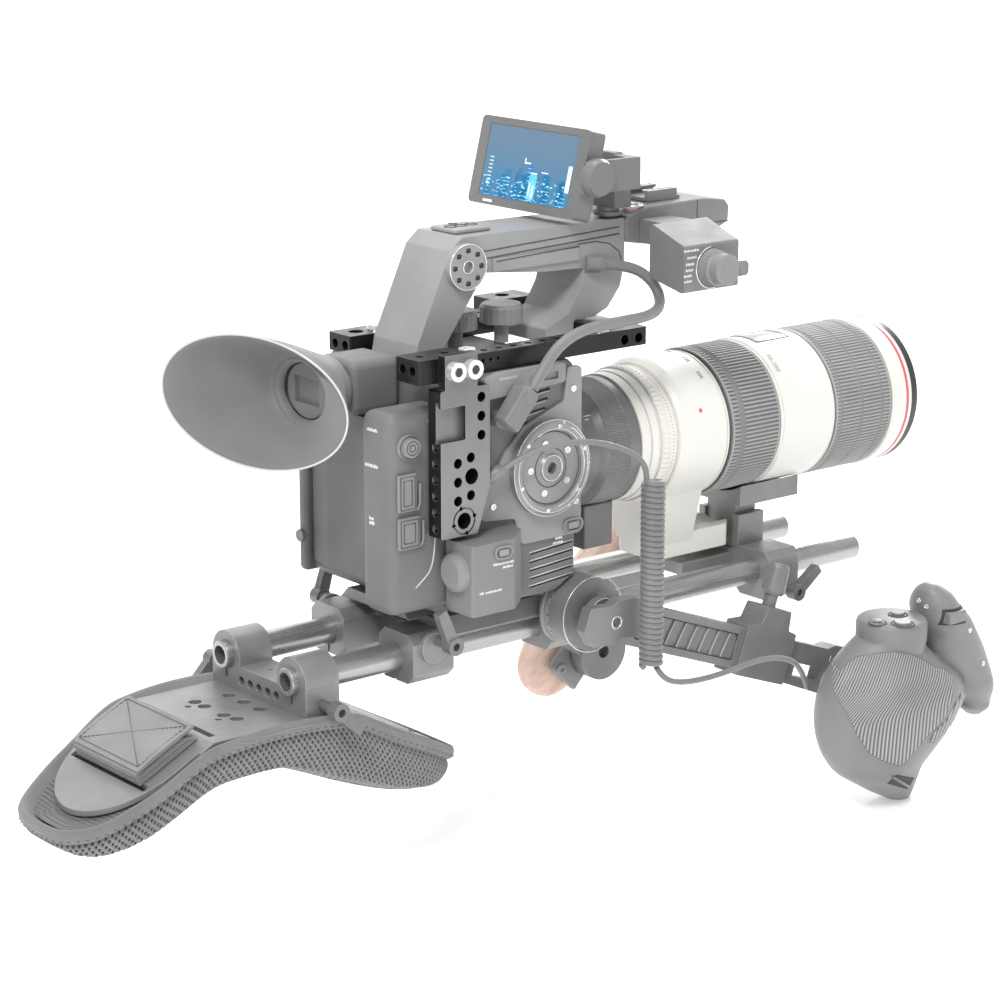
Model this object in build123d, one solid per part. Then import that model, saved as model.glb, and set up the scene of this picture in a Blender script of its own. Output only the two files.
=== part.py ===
"""Shoulder-mounted cinema camera rig with a telephoto zoom lens, sizes in millimetres.

The sketch frame: +X forward along the rods and the lens, +Z up, -Y the operator's right.
Its X starts at the rods' rear ends and its Z at the rods' axes. save() moves every node so
that the origin is the mouth of the tripod socket under the baseplate.
"""
from build123d import *
from math import cos, pi, radians, sin, sqrt, tan
import os

# Support rods: a pair of 15 mm rods, 60 mm apart
ROD_R = 7.5
ROD_Y = 30.0
ROD_LENGTH = 416.0
RUNNING = 0.05                     # radial clearance of a running fit
ROD_BORE_R = ROD_R + RUNNING
ROD_THREAD_R = 5.1                 # M12 thread core

# Tripod socket, a 3/8 inch thread core
SOCKET_X = 142.0
SOCKET_R = 3.97
SOCKET_DEPTH = 12.0
BASE_BOTTOM = -13.0
BASE_TOP = 18.0

# Lens and camera heights
LENS_Z = 88.0
LENS_CORE_R = 37.5
BODY_NEAR = -56.0
BODY_FAR = 54.0
BODY_FLOOR = 24.0
BODY_TOP = 152.0

# Side rosettes and the arms that turn on them
ROSETTE_X = 178.0
ROSETTE_Z = 11.0
ROSETTE_R = 20.0
ARM_DROP = 20.3                    # degrees below level
ARM_SLIDER_END = 205.0             # from the rosette to the hand grip's pivot
LEFT_ARM_DROP = 33.0
LEFT_ARM_LENGTH = 134.0

# Shoulder plate
PLATE_TOP = -18.0
PLATE_THICK = 3.0
PLATE_HALF_WIDTH = 42.0

# Round mount of the hand grip on the camera's near side
GRIP_X = 152.0
GRIP_Z = 96.0

# Audio input housing on the near side: the face and axis of its socket
XLR_FACE = 84.0
XLR_Y = -67.0
XLR_Z = 52.0

# Front glass
GLASS_R = 37.3
GLASS_FRONT = 446.0
GLASS_BULGE = 5.0

# Monitor: centre, turn about Z and tilt; its bracket swivels on a vertical axis
LCD_X = 205.3
LCD_Y = 16.0
LCD_Z = 242.4
LCD_TILT = 14.0
SWIVEL_X = 234.5
SWIVEL_Y = -11.0

# Viewfinder axis height
EVF_Z = 143.0

# Hand grip: its pivot, the cord's entry and the controls on its top
GRIP_PIVOT_X = ROSETTE_X + ARM_SLIDER_END * cos(radians(ARM_DROP))
GRIP_PIVOT_Z = ROSETTE_Z - ARM_SLIDER_END * sin(radians(ARM_DROP))
GRIP_ENTRY = (319.1, -92.4, -54.6)
GRIP_Y = -115.0
POD_X, POD_TOP, POD_R = 362.0, -14.5, 20.4
DIAL_X, DIAL_Y = 357.0, -128.0
BUTTON_X, BUTTON_Y = 368.0, -114.0
ROCKER_X, ROCKER_Z = 397.0, -17.0
HOOD_NEAR, HOOD_FAR = -132.0, -100.0

# Far-side arm's end
LEFT_END_X = ROSETTE_X + LEFT_ARM_LENGTH * cos(radians(LEFT_ARM_DROP))
LEFT_END_Z = ROSETTE_Z - LEFT_ARM_LENGTH * sin(radians(LEFT_ARM_DROP))

# Placed frames: each puts a piece modelled about the origin where it belongs
LCD_AXIS = Pos(LCD_X, LCD_Y, LCD_Z)
LCD_PLACE = LCD_AXIS * Rot(0, LCD_TILT, 0)
ARM_PLACE = Pos(ROSETTE_X, 0, ROSETTE_Z) * Rot(0, ARM_DROP, 0)
LEFT_PLACE = Pos(ROSETTE_X, 0, ROSETTE_Z) * Rot(0, LEFT_ARM_DROP, 0)
WOOD_PLACE = Pos(303, 0, -40) * Rot(0, -47, 0)

# Cords
HANDLE_CABLE_R = 3.0
LEAD_R = 1.6
COIL_R = 7.0
COIL_X = 193.0
COIL_Y = -97.0
COIL_TOP = 91.0
COIL_BOTTOM = -15.0


def save(node, *solids):
    """Writes one node, moved so that the tripod socket's mouth is the origin."""
    shape = Compound([s for item in solids for s in item.solids()])
    export_step(Pos(-SOCKET_X, 0, -BASE_BOTTOM) * shape, f"parts/{node}.step")


def block(x, y, z, edge=0.0):
    """A box between two corners, with every edge rounded by edge."""
    size = (x[1] - x[0], y[1] - y[0], z[1] - z[0])
    solid = Pos((x[0] + x[1]) / 2, (y[0] + y[1]) / 2, (z[0] + z[1]) / 2) * Box(*size)
    return fillet(solid.edges(), edge) if edge else solid


def bar_x(radius, x, y, z):
    return Pos((x[0] + x[1]) / 2, y, z) * Rot(0, 90, 0) * Cylinder(radius, x[1] - x[0])


def bar_y(radius, x, y, z):
    return Pos(x, (y[0] + y[1]) / 2, z) * Rot(90, 0, 0) * Cylinder(radius, y[1] - y[0])


def bar_z(radius, x, y, z):
    return Pos(x, y, (z[0] + z[1]) / 2) * Cylinder(radius, z[1] - z[0])


def outline(points, corner=0.0):
    face = Polygon(*points, align=None)
    return fillet(face.vertices(), corner) if corner else face


def side_slab(points, y, corner=0.0):
    """An (X, Z) outline, extruded between two Y."""
    face = Pos(0, y[0], 0) * (Plane.XZ * outline(points, corner))
    return extrude(face, y[1] - y[0], dir=(0, 1, 0))


def plan_slab(points, z, corner=0.0):
    """An (X, Y) outline, extruded between two Z."""
    return extrude(Pos(0, 0, z[0]) * outline(points, corner), z[1] - z[0], dir=(0, 0, 1))


def front_slab(points, x, corner=0.0):
    """A (Y, Z) outline, extruded between two X."""
    face = Pos(x[0], 0, 0) * (Plane.YZ * outline(points, corner))
    return extrude(face, x[1] - x[0], dir=(1, 0, 0))


def turned_x(profile, y, z):
    """An (x, radius) profile turned about a line along X."""
    return Pos(0, y, z) * revolve(Polygon(*profile, align=None), Axis.X)


def turned_y(profile, x, z):
    return Pos(x, 0, z) * Rot(0, 0, 90) * revolve(Polygon(*profile, align=None), Axis.X)


def turned_z(profile, x, y):
    return Pos(x, y, 0) * Rot(0, -90, 0) * revolve(Polygon(*profile, align=None), Axis.X)


def turned_plug(start, end, radii):
    """Plug body tapering from start to end."""
    a, b = Vector(*start), Vector(*end)
    axis = (b - a).normalized()
    length = (b - a).length
    profile = [(0, 0), (0, radii[0]), (length * 0.7, radii[0]), (length, radii[1]), (length, 0)]
    body = revolve(Polygon(*profile, align=None), Axis.X)
    return Plane(origin=a, x_dir=axis, z_dir=axis.cross(Vector(0, 1, 0)).normalized()).location * body


def sleeve(inner, outer, x, chamfer=0.6):
    """A tube round the lens axis with its outer edges broken."""
    profile = [
        (x[0], inner),
        (x[0], outer - chamfer),
        (x[0] + chamfer, outer),
        (x[1] - chamfer, outer),
        (x[1], outer - chamfer),
        (x[1], inner),
    ]
    return turned_x(profile, 0, LENS_Z)


def octagon(y, z, half_width, low, high, bevel):
    """A bevelled (Y, Z) outline round a rod."""
    return [
        (y - half_width, low + bevel),
        (y - half_width, high - bevel),
        (y - half_width + bevel, high),
        (y + half_width - bevel, high),
        (y + half_width, high - bevel),
        (y + half_width, low + bevel),
        (y + half_width - bevel, low),
        (y - half_width + bevel, low),
    ]


def ring_of(make, count, radius, x, z, start=0.0):
    """Copies of make(x, z) evenly spaced on a circle about a line along Y."""
    angles = [radians(start + 360 * i / count) for i in range(count)]
    return [make(x + radius * cos(a), z + radius * sin(a)) for a in angles]


def cut_all(solid, tools):
    for tool in tools:
        solid = solid - tool
    return solid


def join_all(solids):
    whole = solids[0]
    for solid in solids[1:]:
        whole = whole + solid
    return whole


# ---------------------------------------------------------------- rods and baseplate

def rod(y):
    """Aluminium tube, threaded at its open rear end and closed in front."""
    profile = [
        (0, ROD_THREAD_R),
        (0, ROD_R - 0.5),
        (0.5, ROD_R),
        (ROD_LENGTH - 0.8, ROD_R),
        (ROD_LENGTH, ROD_R - 0.8),
        (ROD_LENGTH, 0),
        (ROD_LENGTH - 8, 0),
        (ROD_LENGTH - 8, 5.5),
        (20, 5.5),
        (20, ROD_THREAD_R),
    ]
    return turned_x(profile, y, 0)


def rod_bores(x):
    return [bar_x(ROD_BORE_R, x, side * ROD_Y, 0) for side in (-1, 1)]


def baseplate():
    """Bridge plate over the rods with a clamp block round each rod at both ends."""
    plate = front_slab(
        [(-43, 9), (-38, BASE_TOP), (38, BASE_TOP), (43, 9), (43, 8), (-43, 8)], (92, 196)
    )
    spine = block((98, 190), (-18, 18), (BASE_BOTTOM, 8.5))
    blocks = []
    for x in ((71, 98), (166, 196)):
        for side in (-1, 1):
            blocks.append(front_slab(octagon(side * 31, 0, 15, BASE_BOTTOM, 14, 5), x))
    notch = plan_slab([(91, -14), (91, 14), (104, 10), (104, -10)], (8, 19))
    seats = [bar_y(8.5, 84, y, 6) for y in ((-48, -45), (45, 48))]
    whole = join_all([plate, spine] + blocks + seats)
    holes = [
        bar_z(SOCKET_R, SOCKET_X, 0, (BASE_BOTTOM - 1, BASE_BOTTOM + SOCKET_DEPTH)),
        bar_z(2.55, SOCKET_X + 16, 0, (BASE_BOTTOM - 1, BASE_BOTTOM + 10)),
        bar_z(2.55, SOCKET_X + 32, 0, (BASE_BOTTOM - 1, BASE_BOTTOM + 10)),
    ]
    slits = [block((70, 99), (s * ROD_Y - 0.75, s * ROD_Y + 0.75), (-14, -6)) for s in (-1, 1)]
    return cut_all(whole, rod_bores((60, 200)) + holes + slits + [notch])


def quick_plate():
    """Dovetail plate between the bridge plate and the camera."""
    outline_yz = [(-30, BASE_TOP), (-24, BODY_FLOOR), (24, BODY_FLOOR), (30, BASE_TOP)]
    return front_slab(outline_yz, (80, 176))


def rosette(y, x=ROSETTE_X, z=ROSETTE_Z, radius=ROSETTE_R):
    """Toothed disc between two Y; its teeth are radial grooves in the face."""
    face = y[0] if abs(y[0]) > abs(y[1]) else y[1]
    disc = bar_y(radius, x, y, z)
    bowl = bar_y(radius - 7, x, (face - 1, face + 1), z)
    grooves = []
    for i in range(24):
        tooth = block((radius - 6.5, radius + 1), (-1.2, 1.2), (-0.45, 0.45))
        grooves.append(Pos(x, face, z) * Rot(0, 15 * i, 0) * tooth)
    return cut_all(disc - bowl, grooves)


def rosette_mounts():
    """Side blocks that carry a rosette on each side of the baseplate."""
    parts = []
    for side in (-1, 1):
        y = sorted((side * 46, side * 48))
        parts.append(bar_y(ROSETTE_R + 1, ROSETTE_X, y, ROSETTE_Z))
        parts.append(rosette(sorted((side * 48, side * 52))))
    return parts


# ---------------------------------------------------------------- ratchet levers

def lever(x, y, z, tip_x, tip_z, side):
    """Ratchet lever: a stud along Y, a round hub on it and a flat tapered arm."""
    y_stud = sorted((y[0], y[1]))
    hub_y = sorted((y[1] - side * 7, y[1]))
    stud = bar_y(3.0, x, y_stud, z)
    hub = bar_y(4.8, x, hub_y, z)
    run = Vector(tip_x - x, 0, tip_z - z).normalized()
    across = Vector(-run.Z, 0, run.X)
    near, far = 3.6, 2.9
    corners = [
        (x + across.X * near, z + across.Z * near),
        (x - across.X * near, z - across.Z * near),
        (tip_x - across.X * far, tip_z - across.Z * far),
        (tip_x + across.X * far, tip_z + across.Z * far),
    ]
    arm = side_slab(corners, (hub_y[0] + 1, hub_y[1] - 1), 1.2)
    bore_y = sorted((y[1] - side * 3, y[1] + side))
    return (stud + hub + arm) - bar_y(2.2, x, bore_y, z)


def screw_y(x, z, y, radius=2.0, depth=3.0, side=-1):
    """Socket-head screw whose head points along side in Y."""
    head = bar_y(radius, x, sorted((y, y - side * depth)), z)
    socket = bar_y(radius * 0.5, x, sorted((y + side, y - side * depth * 0.5)), z)
    return head - socket


# ---------------------------------------------------------------- shoulder mount

def shoulder_clamp():
    """Double rod clamp that slides on the rods and carries the shoulder plate."""
    x = (4, 25)
    low = PLATE_TOP
    foot = block(x, (-43, 43), (low, -4.4))
    parts = [foot]
    for side in (-1, 1):
        parts.append(bar_x(12.8, x, side * ROD_Y, 0))
        y = sorted((side * 17.2, side * 43))
        parts.append(block(x, y, (low, -1)))
    whole = join_all(parts)
    holes = [bar_x(2.6, (x[0] - 1, x[1] + 1), y, -12) for y in (-16, -8, 0, 8, 16)]
    wells = [bar_z(1.3, 14.5, y, (-10, -4)) for y in (-4, 4)]
    slits = [block((3, 26), (y - 0.8, y + 0.8), (-13, -6)) for y in (-ROD_Y, ROD_Y)]
    return cut_all(whole, rod_bores((0, 30)) + holes + wells + slits)


def plate_profile(offset):
    """Centre line of the shoulder plate, offset down: level, then bent down at both ends."""
    z = PLATE_TOP - offset
    return [
        (-114, z - 31.5), (-88, z - 18), (-52, z), (26, z), (62, z - 17), (90, z - 31),
        (106, z - 40),
    ]


def shoulder_plate():
    """Bent aluminium plate with half-round tongues, slots for a strap and fixing holes."""
    top = plate_profile(0)
    low = plate_profile(PLATE_THICK)
    strip = side_slab(top + low[::-1], (-PLATE_HALF_WIDTH, PLATE_HALF_WIDTH))
    tongue = Pos(-4, 0, -75) * extrude(SlotOverall(220, 2 * PLATE_HALF_WIDTH - 4), 65)
    middle = block((-60, 34), (-PLATE_HALF_WIDTH, PLATE_HALF_WIDTH), (-75, -10))
    plate = strip & (tongue + middle)
    large = ((-24, 18), (-24, 9), (-24, -9), (-22, -18), (-4, 16), (-4, 2), (-4, -13))
    holes = [bar_z(3.6, x, y, (-30, -10)) for x, y in large]
    small = [bar_z(1.8, x, y, (-30, -10)) for x, y in ((-31, 14), (-30, -13))]
    gaps = [block((-90, -86), (-35, 35), (-60, -20)), block((-49, -45), (-33, 33), (-40, -10))]
    return cut_all(plate, holes + small + gaps + [front_slot()])


def front_slot():
    """U-shaped strap slot that follows the edge of the front tongue."""
    ring = SlotOverall(206, 2 * PLATE_HALF_WIDTH - 18) - SlotOverall(198, 2 * PLATE_HALF_WIDTH - 26)
    return (Pos(-4, 0, -75) * extrude(ring, 65)) & block((44, 110), (-45, 45), (-75, -10))


def shoulder_pad():
    """Saddle-shaped pad under the plate: a plain solid of the pad's true size."""
    under_plate = plate_profile(PLATE_THICK + 0.5)
    top = [(-130, -58.5), (-122, -56.5)] + under_plate + [(112, -65.2), (118, -68.5)]
    low = [
        (118, -75), (106, -80), (90, -79.5), (60, -72), (30, -61), (4, -50), (-10, -44.5), (-40, -44),
        (-56, -47), (-76, -58), (-92, -66), (-112, -71), (-122, -70.5), (-130, -66),
    ]
    return side_slab(top + low, (-50, 50))


def pad_strap():
    """Hook-and-loop strap over the plate, between its two rear slots."""
    lying = [
        (-89, -35.4), (-52.5, -17.6), (-47, -17.6), (-48, -15), (-60, -11.5), (-64, -12), (-91, -29),
    ]
    return side_slab(lying, (-32, 32))


# ---------------------------------------------------------------- camera body

def camera_body():
    """Main housing: a rounded block with a port wing behind, vents and a front plate."""
    main = block((88, 176), (BODY_NEAR, BODY_FAR), (BODY_FLOOR, BODY_TOP))
    main = fillet(main.edges().filter_by(Axis.Y), 9)
    main = fillet(main.faces().filter_by(Axis.Y).edges(), 6)
    wing = block((50, 96), (-55, -29), (30, 137), 6)
    rim = block((68, 96), (45.5, 53), (30, 128), 3)
    roof = side_slab([(88, 127), (88, 146), (93, 151), (110, 151), (110, 127)], (-50, 50))
    floor = side_slab([(84, 26), (74, 33), (74, 36), (96, 36), (96, 26)], (-50, 50))
    front = bar_x(43, (170, 182), 0, LENS_Z)
    body = join_all([main, wing, rim, roof, floor, front])
    reliefs = [bar_y(22, ROSETTE_X, y, ROSETTE_Z) for y in ((-60, -42), (42, 60))]
    return cut_all(body, upper_vents() + lower_vents() + reliefs)


def upper_vents():
    """Slanted cooling slots high on the near side."""
    return [
        Pos(140, BODY_NEAR, 141 - 5 * i) * Rot(0, -6, 0) * Box(34 - 3 * i, 4, 1.8) for i in range(6)
    ]


def lower_vents():
    """Level cooling slots low on the near side."""
    return [Pos(157, BODY_NEAR, 32 + 4.6 * i) * Rot(0, -4, 0) * Box(30, 4, 1.9) for i in range(5)]


def battery():
    """Battery pack in the rear bay, with a slightly bowed outer face."""
    face = [(88, -28), (72, -28), (68.5, -10), (68.5, 26), (72, 45), (88, 45)]
    return plan_slab(face, (37, 126), 2.5)


def side_panel():
    """Raised cover plate that frames the grip mount."""
    points = [
        (176, 148), (166, 148), (164, 130), (152, 126), (136, 120), (124, 108), (107, 86),
        (107, 73), (130, 71), (135, 56), (176, 56),
    ]
    return side_slab(points, (BODY_NEAR - 2, BODY_NEAR), 3)


def hood_panel():
    """Overhanging ledge above the vents, with a latch slot."""
    side = [(108, 138), (108, 149), (118, 151.5), (163, 151.5), (163, 141)]
    ledge = side_slab(side, (-60, BODY_NEAR), 2)
    slot = block((138, 158), (-61, -58.5), (143.5, 147.5))
    return ledge - slot


def grip_mount():
    """Round mount for the hand grip: a bayonet ring and a disc with a threaded centre."""
    ring = [(-58, 20.5), (-58, 26), (-62.5, 25.5), (-63.5, 24), (-63.5, 21.5), (-62.5, 20.5)]
    disc = [(-58, 3.2), (-58, 20.45), (-61, 20.45), (-61, 8), (-62.5, 7), (-62.5, 3.2)]
    return turned_y(ring, GRIP_X, GRIP_Z), turned_y(disc, GRIP_X, GRIP_Z)


def grip_mount_screws():
    """Screws of the grip mount and of the cover plate."""
    inner = ring_of(lambda x, z: screw_y(x, z, -61.8, 1.9, 0.8), 5, 14, GRIP_X, GRIP_Z, 35)
    outer = ring_of(lambda x, z: screw_y(x, z, -64.1, 1.1, 0.6), 6, 22.8, GRIP_X, GRIP_Z, 20)
    cover = [screw_y(x, z, -58.8, 1.8, 0.8) for x, z in ((170, 136), (115, 80), (172, 74))]
    return inner + outer + cover


def slide_switch(x, z, y):
    """Small slide switch with a raised rib, standing on a face that looks along -Y."""
    return block((x - 3.2, x + 3.2), (y - 1.6, y), (z - 1.8, z + 1.8), 0.5)


def switch_frames():
    """Raised rims round the release switch and the microphone switch."""
    return [switch_frame(170, 61, -58, 7, 4), switch_frame(104, 62, -80, 6, 3.6)]


def switch_frame(x, z, y, half_x, half_z):
    rim = SlotOverall(2 * half_x, 2 * half_z) - SlotOverall(2 * half_x - 2.4, 2 * half_z - 2.4)
    return Pos(x, y, z) * Rot(90, 0, 0) * extrude(rim, 1.2)


def xlr_housing():
    """Audio input housing low on the near side, its socket facing back."""
    plan = [(XLR_FACE, -56.2), (XLR_FACE, -80), (112, -80), (126, -68), (130, -56.2)]
    shell = plan_slab(plan, (30, 68), 2)
    socket = bar_x(9.5, (XLR_FACE - 1, XLR_FACE + 12), XLR_Y, XLR_Z)
    return shell - socket


def cable_cap(x, y, z):
    """Socket cover facing back: a flange, a dome and a finger tab."""
    return turned_x([(x - 5, 0), (x - 5, 7.5), (x - 3, 10), (x, 10.8), (x, 0)], y, z)


def port_covers():
    """Port doors and a round video jack on the rear wing, facing the near side."""
    doors = [
        block((54, 66), (-57, -55), (86, 106), 0.8),
        block((54, 68), (-57, -55), (66, 83), 0.8),
    ]
    jack = turned_y([(-55, 0), (-55, 6.5), (-56.5, 6.5), (-57.5, 5), (-60, 5), (-60, 0)], 61, 120)
    return doors + [jack]


def side_button():
    return bar_x(3.4, (66.3, 68), 49.5, 50)


# ---------------------------------------------------------------- lens

def mount_adapter():
    """Dark adapter between the camera and the lens, with a grip band and a foot."""
    profile = [
        (182, 24), (182, 38), (192, 35), (205, 31.5), (212, 31.5), (216, 34.5), (236, 35.5),
        (240, 35.5), (240, 24),
    ]
    return turned_x(profile, 0, LENS_Z)


def adapter_foot():
    """Tripod foot under the adapter."""
    foot = block((218, 240), (-12, 12), (28, 54), 1.5)
    saddle = bar_x(35.6, (210, 245), 0, LENS_Z)
    return foot - saddle


def lens_rear_barrel():
    """White rear barrel: bayonet collar, step, scalloped ring and the inner tube."""
    profile = [
        (240.1, 24), (240.1, 36.4), (246, 36.8), (246, 35.9), (247, 35.9), (247, 37.2),
        (251, 37.8), (254, 37), (254, 38.4), (264, 38.4), (264, LENS_CORE_R),
        (434, LENS_CORE_R), (434, 33), (262, 33), (262, 24),
    ]
    return turned_x(profile, 0, LENS_Z)


def tripod_collar():
    """Collar round the lens with its neck and long foot."""
    inner = LENS_CORE_R + RUNNING
    profile = [(265.5, inner), (265.5, 39.5), (268, 41.6), (271, 42.4), (301, 42.2), (301, inner)]
    ring = turned_x(profile, 0, LENS_Z)
    neck = front_slab([(-17, 22), (-26, 56), (26, 56), (17, 22)], (268, 296))
    bore = bar_x(41, (260, 310), 0, LENS_Z)
    plan = [(268, -17), (268, 17), (324, 17), (331, 10), (331, -10), (324, -17)]
    foot = plan_slab(plan, (14, 27), 5)
    notch = bar_x(16, (296, 340), 0, 40)
    return ring + (neck - bore) + (foot - notch)


def zoom_ring():
    return sleeve(LENS_CORE_R + RUNNING, 43.2, (303, 341))


def lens_mid_barrel():
    """White barrel between the two rings, with the pocket for the distance window."""
    profile = [
        (341.6, LENS_CORE_R), (341.6, 42.6), (344, 43.6), (383, 43.8), (384.6, 43), (384.6, LENS_CORE_R),
    ]
    return turned_x(profile, 0, LENS_Z) - block((352, 376), (-9, 9), (LENS_Z + 41, LENS_Z + 46))


def distance_window():
    """Clear cover of the distance scale, flush with the barrel."""
    slab = block((352, 376), (-9, 9), (LENS_Z + 41, LENS_Z + 46))
    return slab & bar_x(43.9, (350, 380), 0, LENS_Z)


def focus_ring():
    return sleeve(LENS_CORE_R + RUNNING, 44.2, (385.2, 432.4))


def lens_front_barrel():
    """White front barrel with a groove for the red ring."""
    profile = [
        (433, LENS_CORE_R), (433, 44), (433.6, 44.4), (444.6, 44.4), (444.6, 43.6), (446.4, 43.6),
        (446.4, 44.4), (449, 44.4), (449, 40), (440, 40), (440, LENS_CORE_R),
    ]
    return turned_x(profile, 0, LENS_Z)


def red_ring():
    return turned_x([(444.6, 43.6), (444.6, 44.5), (446.4, 44.5), (446.4, 43.6)], 0, LENS_Z)


def filter_ring():
    """Black front rim with the filter thread."""
    return turned_x([(449, 38.5), (449, 44.4), (453.5, 44.4), (455, 43.4), (455, 38.5)], 0, LENS_Z)


def front_element():
    """Front glass: a plano-convex lens."""
    dome_r = (GLASS_R ** 2 + GLASS_BULGE ** 2) / (2 * GLASS_BULGE)
    half = GLASS_R / 2
    rim_x = GLASS_FRONT - GLASS_BULGE
    half_x = GLASS_FRONT - dome_r + sqrt(dome_r ** 2 - half ** 2)
    edge = Polyline((GLASS_FRONT, 0), (rim_x - 3, 0), (rim_x - 3, GLASS_R), (rim_x, GLASS_R))
    dome = ThreePointArc((rim_x, GLASS_R), (half_x, half), (GLASS_FRONT, 0))
    return Pos(0, 0, LENS_Z) * revolve(make_face(edge + dome), Axis.X)


# ---------------------------------------------------------------- top and side plates

def top_plate():
    """Machined top plate: a rail each side, a cross member in front and mounting blocks."""
    near_block = block((64, 98), (-62, -42), (152.2, 165))
    near_rail = block((97, 205), (-54, -42), (152.2, 162))
    cross = block((204, 226), (-54, 44), (152.2, 162))
    far_rail = block((84, 205), (24, 44), (152.2, 162))
    far_front = block((196, 226), (40, 60), (152.2, 166))
    plate = join_all([near_block, near_rail, cross, far_rail, far_front])
    plate = chamfer(plate.edges().filter_by(Axis.Z), 0.8)
    tall = (150, 168)
    top_holes = [bar_z(2.1, 117 + 10 * i, -48, tall) for i in range(8)]
    top_holes += [bar_z(2.1, 120 + 10 * i, 34, tall) for i in range(7)]
    top_holes += [bar_z(2.1, x, -52, tall) for x in (72, 88)]
    top_holes += [bar_z(4.2, 95, 34, tall), bar_z(4.2, 210, 51, tall)]
    ends = [bar_x(2.6, (63, 75), y, 159) for y in (-56, -48)]
    ends += [bar_x(2.6, (83, 94), y, 156.5) for y in (29, 38)]
    ends += [bar_y(2.8, x, (-55, -45), 156.5) for x in (210, 220)]
    dots = [bar_y(1.0, x, (-55, -52), 158) for x in (112, 117, 122)]
    return cut_all(plate, top_holes + ends + dots)


def side_plate():
    """Side plate with a bolted tab, cold shoe, threaded holes and a locating hole."""
    points = [(73, 71), (73, 149), (105, 149), (105, 95), (97, 71)]
    y = (-68.0, -57.5)
    plate = side_slab(points, y, 1.2)
    tab = block((76, 97), (-68, -62.1), (146, 167))
    plate = plate + tab
    shoe = block((72, 89), (-69, -64.5), (122, 140))
    lips = block((72, 92), (-66.2, -64.0), (119.5, 142.5))
    back = (y[0] - 1, y[1] + 1)
    column = [bar_y(2.7, 99.5, back, z) for z in (143, 133, 123)]
    places = ((84, 110), (92.5, 112), (84, 100), (84, 90), (92.5, 92))
    cluster = [bar_y(2.7, x, back, z) for x, z in places]
    large = [bar_y(4.3, 93, back, 102), bar_y(4.4, 88, back, 79)]
    pins = ring_of(lambda x, z: bar_y(1.2, x, (-69, -64), z), 4, 7, 88, 79, 15)
    groove = bar_y(7.4, 88, (-69, -67), 79) - bar_y(6.4, 88, (-70, -60), 79)
    edge_holes = [bar_x(2.2, (72, 80), -63, 76 + 8.6 * i) for i in range(6)]
    bolts = [bar_y(2.6, x, (-69, -61), 159) for x in (81, 92)]
    slots = [shoe, lips, groove]
    return cut_all(plate, slots + column + cluster + large + pins + edge_holes + bolts)


def plate_bolts():
    """Two silver socket-head bolts that hold the side plate to the top plate."""
    return [screw_y(x, 159, -73, 5.0, 5.0) for x in (81, 92)]


def plate_screws():
    """Low silver screws on top of the top plate."""
    head = [(162, 0), (162, 5), (164.5, 4.4), (164.5, 1.8), (163.2, 1.8), (163.2, 0)]
    return [turned_z(head, x, y) for x, y in ((106, -48), (108, 34), (193, 34), (197.5, -48))]


# ---------------------------------------------------------------- handle

def handle_frame():
    """Top handle: slanted rear leg, bar and curved front leg in one casting."""
    outer = [
        (94, 152.2), (96, 162), (118, 210), (126, 216.5), (150, 216.5), (240, 215.5),
        (240, 190), (237, 178), (228, 167), (218, 163), (203.5, 163), (203.5, 152.2), (183, 152.2),
        (184, 160), (200, 167), (208, 180), (211, 191), (182, 192), (141, 196), (113, 158), (111, 152.2),
    ]
    frame = side_slab(outer, (-19, 19), 1.5)
    grip = block((146, 206), (-20.5, -19), (196, 203))
    return frame + grip


def handle_hub():
    """Round accessory hub at the handle's rear corner."""
    disc = bar_y(12.5, 127, (-23, -19), 201)
    holes = ring_of(lambda x, z: bar_y(1.4, x, (-24, -21), z), 8, 8.8, 127, 201)
    return cut_all(disc, holes + [bar_y(3, 127, (-24, -20.5), 201)])


def handle_module():
    """Control module at the handle's front end."""
    side = [
        (240.2, 202), (240.2, 216), (258, 220.5), (300, 221), (315, 219), (318.5, 215), (318, 206),
        (308, 202), (275, 199), (258, 199),
    ]
    module = side_slab(side, (-20, 19), 3)
    module = fillet(module.faces().filter_by(Axis.Y).edges(), 1.5)
    return module - bar_z(5.0, 250, -13, (214.5, 224))


def hot_shoe():
    """Accessory shoe on the module."""
    base = block((264, 288), (-11, 11), (221, 223))
    lips = [block((264, 286), y, (223, 227)) for y in ((-11, -8.5), (8.5, 11))]
    tops = [block((264, 286), y, (225.5, 227)) for y in ((-8.5, -6.5), (6.5, 8.5))]
    return join_all([base] + lips + tops)


def control_pad():
    """Small raised control pad on the bar's rear end."""
    return block((128, 152), (-11, 11), (216.6, 219), 1.0)


def thumb_knob(x, y):
    """Ribbed knob of a handle screw."""
    knob = turned_z([(163, 0), (163, 10), (163.8, 12), (172, 12), (174, 10.5), (174, 0)], x, y)
    stud = bar_z(4, x, y, (152.5, 163))
    grooves = []
    for i in range(18):
        a = radians(20 * i)
        grooves.append(bar_z(0.7, x + 12.2 * cos(a), y + 12.2 * sin(a), (163.5, 173)))
    return cut_all(knob + stud, grooves)


def xlr_box():
    """Second audio input box hanging on the module's near side."""
    box = front_slab([(-42, 216), (-42, 186), (-70, 180), (-70, 206)], (238, 278), 2)
    arm = block((250, 272), (-43, -20.1), (201, 214))
    socket = bar_y(9, 258, (-71, -58), 193)
    return (box + arm) - socket


def box_cap():
    """Socket cover of the second audio input, facing the near side."""
    profile = [(-70, 0), (-70, 10.4), (-76, 9.6), (-77, 8.6), (-83, 8.6), (-84, 7.2), (-84, 0)]
    return turned_y(profile, 258, 193)


def record_button():
    return turned_z([(215.5, 0), (215.5, 4.6), (219.6, 4.6), (220.4, 3.8), (220.4, 0)], 250, -13)


# ---------------------------------------------------------------- monitor

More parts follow.
